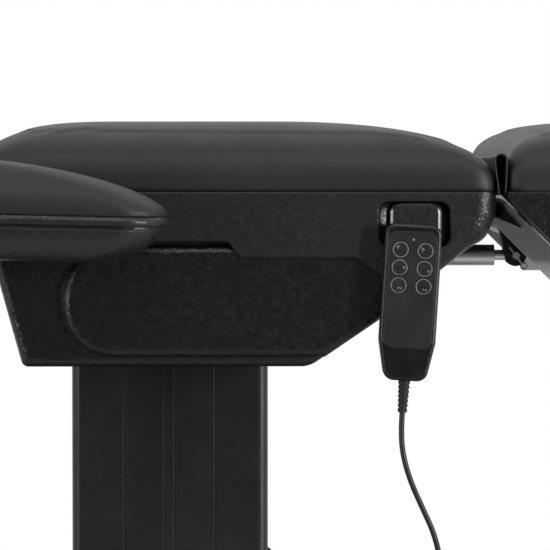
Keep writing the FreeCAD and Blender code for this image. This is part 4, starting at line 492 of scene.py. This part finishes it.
# Outlines and heights are in millimetres; voxel, held level and cap, the most that a cover swells, in metres.
PADS = {
    # node: body, outline, seam level, height, tuck, edge at low x, edge at high x, edge at the sides
    "seat_cushion": ("seat", (-206, 352, 290, 22), 727, 73, (1, 6),
                     (140, SOFT_EDGE), (230, WORN_EDGE), (150, FULL_EDGE)),
    "leg_cushion": ("legrest", (361, 930, 286, 16), 727, 73, (1, 6),
                    (200, TIGHT_EDGE), (165, SOFT_EDGE), (150, FULL_EDGE)),
    "back_cushion": ("backrest", (-705, -228, 290, 28), 727, 73, (1, 6),
                     (145, SOFT_EDGE), (145, SOFT_EDGE), (150, FULL_EDGE)),
    "headrest_cushion": ("headrest", (-930, -717, 150, 38), 727, 70, (1, 6),
                         (80, WORN_EDGE), (80, WORN_EDGE), (80, WORN_EDGE)),
}
PAD_EASE = 0.4
PAD_VOXEL = 0.005
PAD_HELD = 0.006
PAD_CAP = 0.0015


def make_pad(node, body, outline, seam, height, tuck, low_edge, high_edge, side_edge):
    mesh = crowned_mesh(outline, height, tuck, low_edge, high_edge, side_edge, PAD_EASE)
    mesh = swollen(mesh, PAD_VOXEL, PAD_HELD, PAD_CAP)
    mesh.transform(Matrix.Translation((0, 0, seam * MM)))
    dress_pad(node + "_cover", mesh, node, body)


ARM_OUTLINE = (-428, 2, 55, 49)
ARM_HEIGHT = 57
ARM_TUCK = (1, 3)
# Edges at the rear, at the front and at the sides.
ARM_EDGES = [(130, WORN_EDGE), (220, SLOPED_EDGE), (46, ROUND_EDGE)]
ARM_EASE = 0.8
ARM_VOXEL = 0.004
ARM_HELD = 0.004
ARM_CAP = 0.0018
# Where the pad's front end sits on its shell, and how many degrees it leans down to the front.
ARM_SEAT = (0.56, 365, 703.43)
ARM_TILT = 1.4


def make_arm_pads():
    mesh = crowned_mesh(ARM_OUTLINE, ARM_HEIGHT, ARM_TUCK, *ARM_EDGES, ARM_EASE)
    mesh = swollen(mesh, ARM_VOXEL, ARM_HELD, ARM_CAP)
    mesh.transform(Matrix.Rotation(math.radians(ARM_TILT), 4, "Y"))
    x, y, z = ARM_SEAT
    for sign, side in ((-1, "right"), (1, "left")):
        own = mesh.copy()
        own.transform(Matrix.Translation((x * MM, y * sign * MM, z * MM)))
        dress_pad(f"armrest_{side}_cover", own, f"armrest_pad_{side}", f"armrest_{side}")


# Gap flap, in millimetres: half its span, the level of its foot, and its fold at the foot and at the loop.
FLAP_SPAN = 283
FLAP_FOOT = 723
FOOT_X, FOOT_HALF = 356.5, 3.6
LOOP_X = 355.2
LIMB_STEPS, LOOP_STEPS, SPAN_STEPS = 10, 14, 120
# Crest and half width of the loop at the far end, what the near end has more, and how slowly that fades.
CREST_FAR, CREST_MORE, CREST_FADE = 758, 9, 260
LOOP_FAR, LOOP_MORE, LOOP_FADE = 3.0, 3.4, 25
# Height, two lengths and shift of the crest's slow waves.
WAVE, WAVE_SHORT, WAVE_LONG, WAVE_SHIFT = 0.6, 31, 83, 0.7
FLAP_THICKNESS = 0.0014


def flap_profile(crest, loop_half):
    """The folded strip's outline across the gap: two limbs spreading into a loose loop under the crest."""
    loop_z = crest - loop_half
    left, right = [], []
    for step in range(LIMB_STEPS):
        share = step / LIMB_STEPS
        spread = share * share * (3 - 2 * share)
        z = FLAP_FOOT + (loop_z - FLAP_FOOT) * share
        middle = FOOT_X + (LOOP_X - FOOT_X) * spread
        half = FOOT_HALF + (loop_half - FOOT_HALF) * spread
        left.append((middle - half, z))
        right.append((middle + half, z))
    turns = [math.pi * step / LOOP_STEPS for step in range(LOOP_STEPS + 1)]
    loop = [(LOOP_X - loop_half * math.cos(turn), loop_z + loop_half * math.sin(turn)) for turn in turns]
    return left + loop + right[::-1]


def make_gap_flap():
    """One strip of leatherette folded over the gap; its crest is high at the near end and sinks from there."""
    form = bmesh.new()
    columns = []
    for i in range(SPAN_STEPS + 1):
        y = FLAP_SPAN * (2 * i / SPAN_STEPS - 1)
        from_end = FLAP_SPAN + y
        wave = WAVE * math.sin(y / WAVE_SHORT) * math.sin(y / WAVE_LONG + WAVE_SHIFT)
        crest = CREST_FAR + CREST_MORE * math.exp(-from_end / CREST_FADE) + wave
        loop_half = LOOP_FAR + LOOP_MORE * math.exp(-from_end / LOOP_FADE)
        columns.append([form.verts.new((x * MM, y * MM, z * MM)) for x, z in flap_profile(crest, loop_half)])
    for one, other in zip(columns, columns[1:]):
        for i in range(len(one) - 1):
            form.faces.new((one[i], one[i + 1], other[i + 1], other[i]))
    flap = new_piece("gap_flap_strip", mesh_of(form, "gap_flap"), leatherette)
    thick = flap.modifiers.new("thickness", "SOLIDIFY")
    thick.thickness = FLAP_THICKNESS
    thick.offset = 0
    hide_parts("gap_flap")
    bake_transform(flap)


# Handset pocket, in millimetres: drafted walls inside the shell's recess, and the tongue that the handset
# hooks over, on a stem. Each outline is left, right, low and high, and depths are from the shell's face.
POCKET = (225, 301, 668, 717)
POCKET_CORNER = 12
POCKET_FACE = -290
# Steps inward at the left wall, inward at the other walls, and deeper, from the pocket's rim to its back.
POCKET_WALL = [(0.3, 0.3, 0.3), (1.1, 0.5, 2.4), (2.6, 1.0, 3.6), (8.4, 1.6, 6.2), (9.3, 2.2, 9.0),
               (9.5, 2.8, 23.4)]
# The band of those steps that slopes to the light at the left, and how far in from the left it reaches.
SLOPE_BAND, SLOPE_REACH = 2, 12
TONGUE = (241.5, 287.5, 672, 714)
TONGUE_CORNER = 9
# Steps outward and deeper from the tongue's root over its rubbed flanks to its face.
TONGUE_FLANK = [(5.5, 6.5), (5.2, 3.1), (4.2, 2.4), (1.0, 0.75), (0, 0.4)]
STEM = (254, 274, 680, 704)
STEM_CORNER = 3
STEM_DEPTHS = (24, 6)
RUBBED_SLOT, SLOPE_SLOT = 1, 2


def upright_ring(left, right, low, high, corner, deep):
    """Points round an upright rectangle with rounded corners, at one depth behind the shell's face."""
    flat = outline_ring(left, right, (high - low) / 2, corner, 0)
    return [Vector((point.x, POCKET_FACE + deep, (high + low) / 2 + point.y)) for point in flat]


def make_handset_pocket():
    form = bmesh.new()
    left, right, low, high = POCKET
    rings = [upright_ring(left + into, right - edge, low + edge, high - edge, POCKET_CORNER - edge / 2, deep)
             for into, edge, deep in POCKET_WALL]
    walls = skin(form, rings, close_first=False)
    for face in walls[SLOPE_BAND]:
        if face.calc_center_median().x < (left + SLOPE_REACH) * MM:
            face.material_index = SLOPE_SLOT
    left, right, low, high = TONGUE
    rings = [upright_ring(left - out, right + out, low - out / 4, high + out / 4,
                          TONGUE_CORNER + out / 4, deep) for out, deep in TONGUE_FLANK]
    flanks = skin(form, rings)
    for band in flanks[1:]:
        for face in band:
            face.material_index = RUBBED_SLOT
    skin(form, [upright_ring(*STEM, STEM_CORNER, deep) for deep in STEM_DEPTHS])
    mesh = mesh_of(form, "handset_pocket")
    pocket = new_piece("handset_pocket", mesh, grained_abs)
    mesh.materials.append(rubbed_abs)
    mesh.materials.append(pocket_abs)
    for face in mesh.polygons:
        face.use_smooth = len(face.vertices) == 4 and face.material_index != SLOPE_SLOT
    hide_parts("handset_holder")
    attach(pocket, "seat")


# Handset print, in millimetres on the handset's own face: a pale ring on each key and a small chair figure
# whose moving part is picked out.
HAND_PLACE = Matrix.Translation((0.2566, -0.302, 0.6107)) @ Matrix.Rotation(math.radians(3.5), 4, "Y")
KEY_FACE = -12.75
KEY_ROWS = {"back": 55.3, "leg": 36.5, "height": 17.7}
KEY_COLUMNS = {"up": -13.2, "down": 13.2}
CHAIR_FIGURE = [((-2.4, -0.4), (1.6, -0.4)), ((-2.4, -0.4), (-4.2, 2.4)), ((1.6, -0.4), (3.6, -2.6)),
                ((-0.4, -0.6), (-0.4, -3.0)), ((-2.2, -3.4), (1.4, -3.4))]
PICKED_STROKES = {
    "back": {"up": [((-4.6, 3.4), (-2.6, 1.2)), ((-2.7, 4.6), (-1.9, 3.6)), ((-2.9, 2.9), (-1.6, 3.3))],
             "down": [((-4.4, 3.2), (-2.2, 0.6)), ((-3.7, -0.6), (-2.4, 0.3)), ((-1.6, 1.4), (-2.6, 2.4))]},
    "leg": {"up": [((3.6, 0.8), (4.8, -0.6)), ((4.9, 1.2), (5.3, 0.1)), ((3.6, -0.4), (5.6, -0.9))],
            "down": [((3.2, -2.2), (4.2, -3.2)), ((4.3, -1.2), (5.4, -2.1)), ((4.0, -1.5), (4.7, -1.0))]},
    "height": {"up": [((-0.9, -3.2), (0.7, -2.2)), ((2.4, -3.2), (3.2, -2.6))],
               "down": [((-0.4, -3.4), (0.6, -2.8)), ((2.3, -3.6), (3.0, -3.0))]},
}
FIGURE_WIDTH, PICKED_WIDTH = 1.0, 0.9
RING_OUTER, RING_INNER, RING_STEPS = 8.3, 7.45, 48
FIGURE_LIFT, RING_LIFT = 0.0, 0.06
PRINT_THICKNESS = 0.00008


def add_ring(form, on_key):
    """A flat printed ring; on_key turns a place on the key's face into one in space."""
    turns = [2 * math.pi * i / RING_STEPS for i in range(RING_STEPS)]
    circle = [(math.cos(turn), math.sin(turn)) for turn in turns]
    outer, inner = ([form.verts.new(on_key(radius * right, radius * up)) for right, up in circle]
                    for radius in (RING_OUTER, RING_INNER))
    for i in range(RING_STEPS):
        following = (i + 1) % RING_STEPS
        form.faces.new((outer[i], outer[following], inner[following], inner[i]))


def add_stroke(form, on_key, start, end, width):
    """A flat printed stroke with square ends."""
    along = Vector((end[0] - start[0], end[1] - start[1])).normalized() * width / 2
    side = Vector((-along.y, along.x))
    corners = [Vector(start) - along + side, Vector(start) - along - side,
               Vector(end) + along - side, Vector(end) + along + side]
    form.faces.new([form.verts.new(on_key(corner.x, corner.y)) for corner in corners])


def key_print(name, strokes, width, ringed, middle, lift, material, body):
    """Thin printed strokes on a key's face, with or without a ring, as flat strips just above it."""
    x, z = middle

    def on_key(right, up):
        return (x + right) * MM, (KEY_FACE - lift) * MM, (z + up) * MM

    form = bmesh.new()
    if ringed:
        add_ring(form, on_key)
    for start, end in strokes:
        add_stroke(form, on_key, start, end, width)
    mesh = mesh_of(form, name)
    mesh.transform(HAND_PLACE)
    thing = new_piece(name, mesh, material)
    thick = thing.modifiers.new("thickness", "SOLIDIFY")
    thick.thickness = PRINT_THICKNESS
    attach(thing, body)


def print_keys():
    for motion, z in KEY_ROWS.items():
        for way, x in KEY_COLUMNS.items():
            body = f"key_{motion}_{way}"
            picked = PICKED_STROKES[motion][way]
            key_print(f"{body}_figure", CHAIR_FIGURE, FIGURE_WIDTH, False, (x, z), FIGURE_LIFT,
                      printed_figure, body)
            key_print(f"{body}_ring", picked, PICKED_WIDTH, True, (x, z), RING_LIFT, printed_ring, body)


# Strip softboxes stand at both ends of the chair and draw the highlights on turned edges and grain.
SOFTBOXES = {
    # name: place, width and height, power, aim
    "top_softbox": ((0.1, -0.2, 3.2), (4.0, 3.0), 12, (0.1, -0.2, 0.7)),
    "front_softbox": ((0.3, -3.0, 3.4), (2.4, 1.2), 36, (0.2, -0.2, 0.7)),
    "foot_strip": ((3.36, -2.87, 1.0), (0.6, 1.4), 110, (0.3, -0.3, 0.65)),
    "head_strip": ((-3.1, -2.8, 1.0), (0.6, 1.4), 40, (0.0, -0.3, 0.6)),
}
# The room's walls brighten from the front one, which is dim, to where the view turns past the side.
DIM_TOWARD, FULL_TOWARD, DIM_LEVEL = -0.95, 0.4, 0.1
# How much of the room matt surfaces get, next to what glossy ones mirror.
MATT_SHARE = 0.45


def set_studio():
    """White room with a dim front wall: faces turned to the front stay deep, turned edges catch the room."""
    scene = bpy.context.scene
    scene.view_settings.view_transform = "Standard"
    world = bpy.data.worlds.new("white_studio")
    world.use_nodes = True
    scene.world = world
    tree = world.node_tree
    room = tree.nodes["Background"]
    room.inputs["Color"].default_value = linear("#ffffff")
    way = add_node(tree, "ShaderNodeTexCoord").outputs["Generated"]
    toward = add_node(tree, "ShaderNodeSeparateXYZ", {"Vector": way}).outputs["Y"]
    inputs = {"Value": toward, "From Min": DIM_TOWARD, "From Max": FULL_TOWARD, "To Min": DIM_LEVEL,
              "To Max": 1.0}
    walls = add_node(tree, "ShaderNodeMapRange", inputs).outputs["Result"]
    rays = add_node(tree, "ShaderNodeLightPath").outputs
    inputs = {"Value": rays["Is Glossy Ray"], "To Min": MATT_SHARE, "To Max": 1.0}
    share = add_node(tree, "ShaderNodeMapRange", inputs).outputs["Result"]
    lit = add_node(tree, "ShaderNodeMath", {0: walls, 1: share}, operation="MULTIPLY").outputs["Value"]
    inputs = {0: rays["Is Camera Ray"], 1: rays["Is Transmission Ray"]}
    shown = add_node(tree, "ShaderNodeMath", inputs, operation="MAXIMUM").outputs["Value"]
    both = add_node(tree, "ShaderNodeMath", {0: lit, 1: shown}, operation="MAXIMUM").outputs["Value"]
    tree.links.new(both, room.inputs["Strength"])
    for name, (place, size, power, target) in SOFTBOXES.items():
        lamp = bpy.data.lights.new(name, "AREA")
        lamp.shape = "RECTANGLE"
        lamp.size, lamp.size_y = size
        lamp.energy = power
        aim_at(add_object(name, lamp), place, target)


FLOOR_RADIUS = 1.4
FLOOR_STEPS = 96


def lay_floor():
    # Pale matt vinyl floor; it ends behind the chair, out of the camera's sight.
    material, tree, shader, place = new_finish("pale_vinyl_floor", "#d9d9d9", Roughness=0.8)
    vary_roughness(tree, shader, place, size=0.3, low=0.75, high=0.85)
    form = bmesh.new()
    bmesh.ops.create_circle(form, cap_ends=True, segments=FLOOR_STEPS, radius=FLOOR_RADIUS)
    mesh = mesh_of(form, "floor")
    mesh.materials.append(material)
    add_object("floor", mesh)


set_camera()
make_cord()
finish_rigid_pieces()
for node, facts in PADS.items():
    make_pad(node, *facts)
make_arm_pads()
make_gap_flap()
make_handset_pocket()
print_keys()
set_studio()
lay_floor()
bpy.context.view_layer.update()
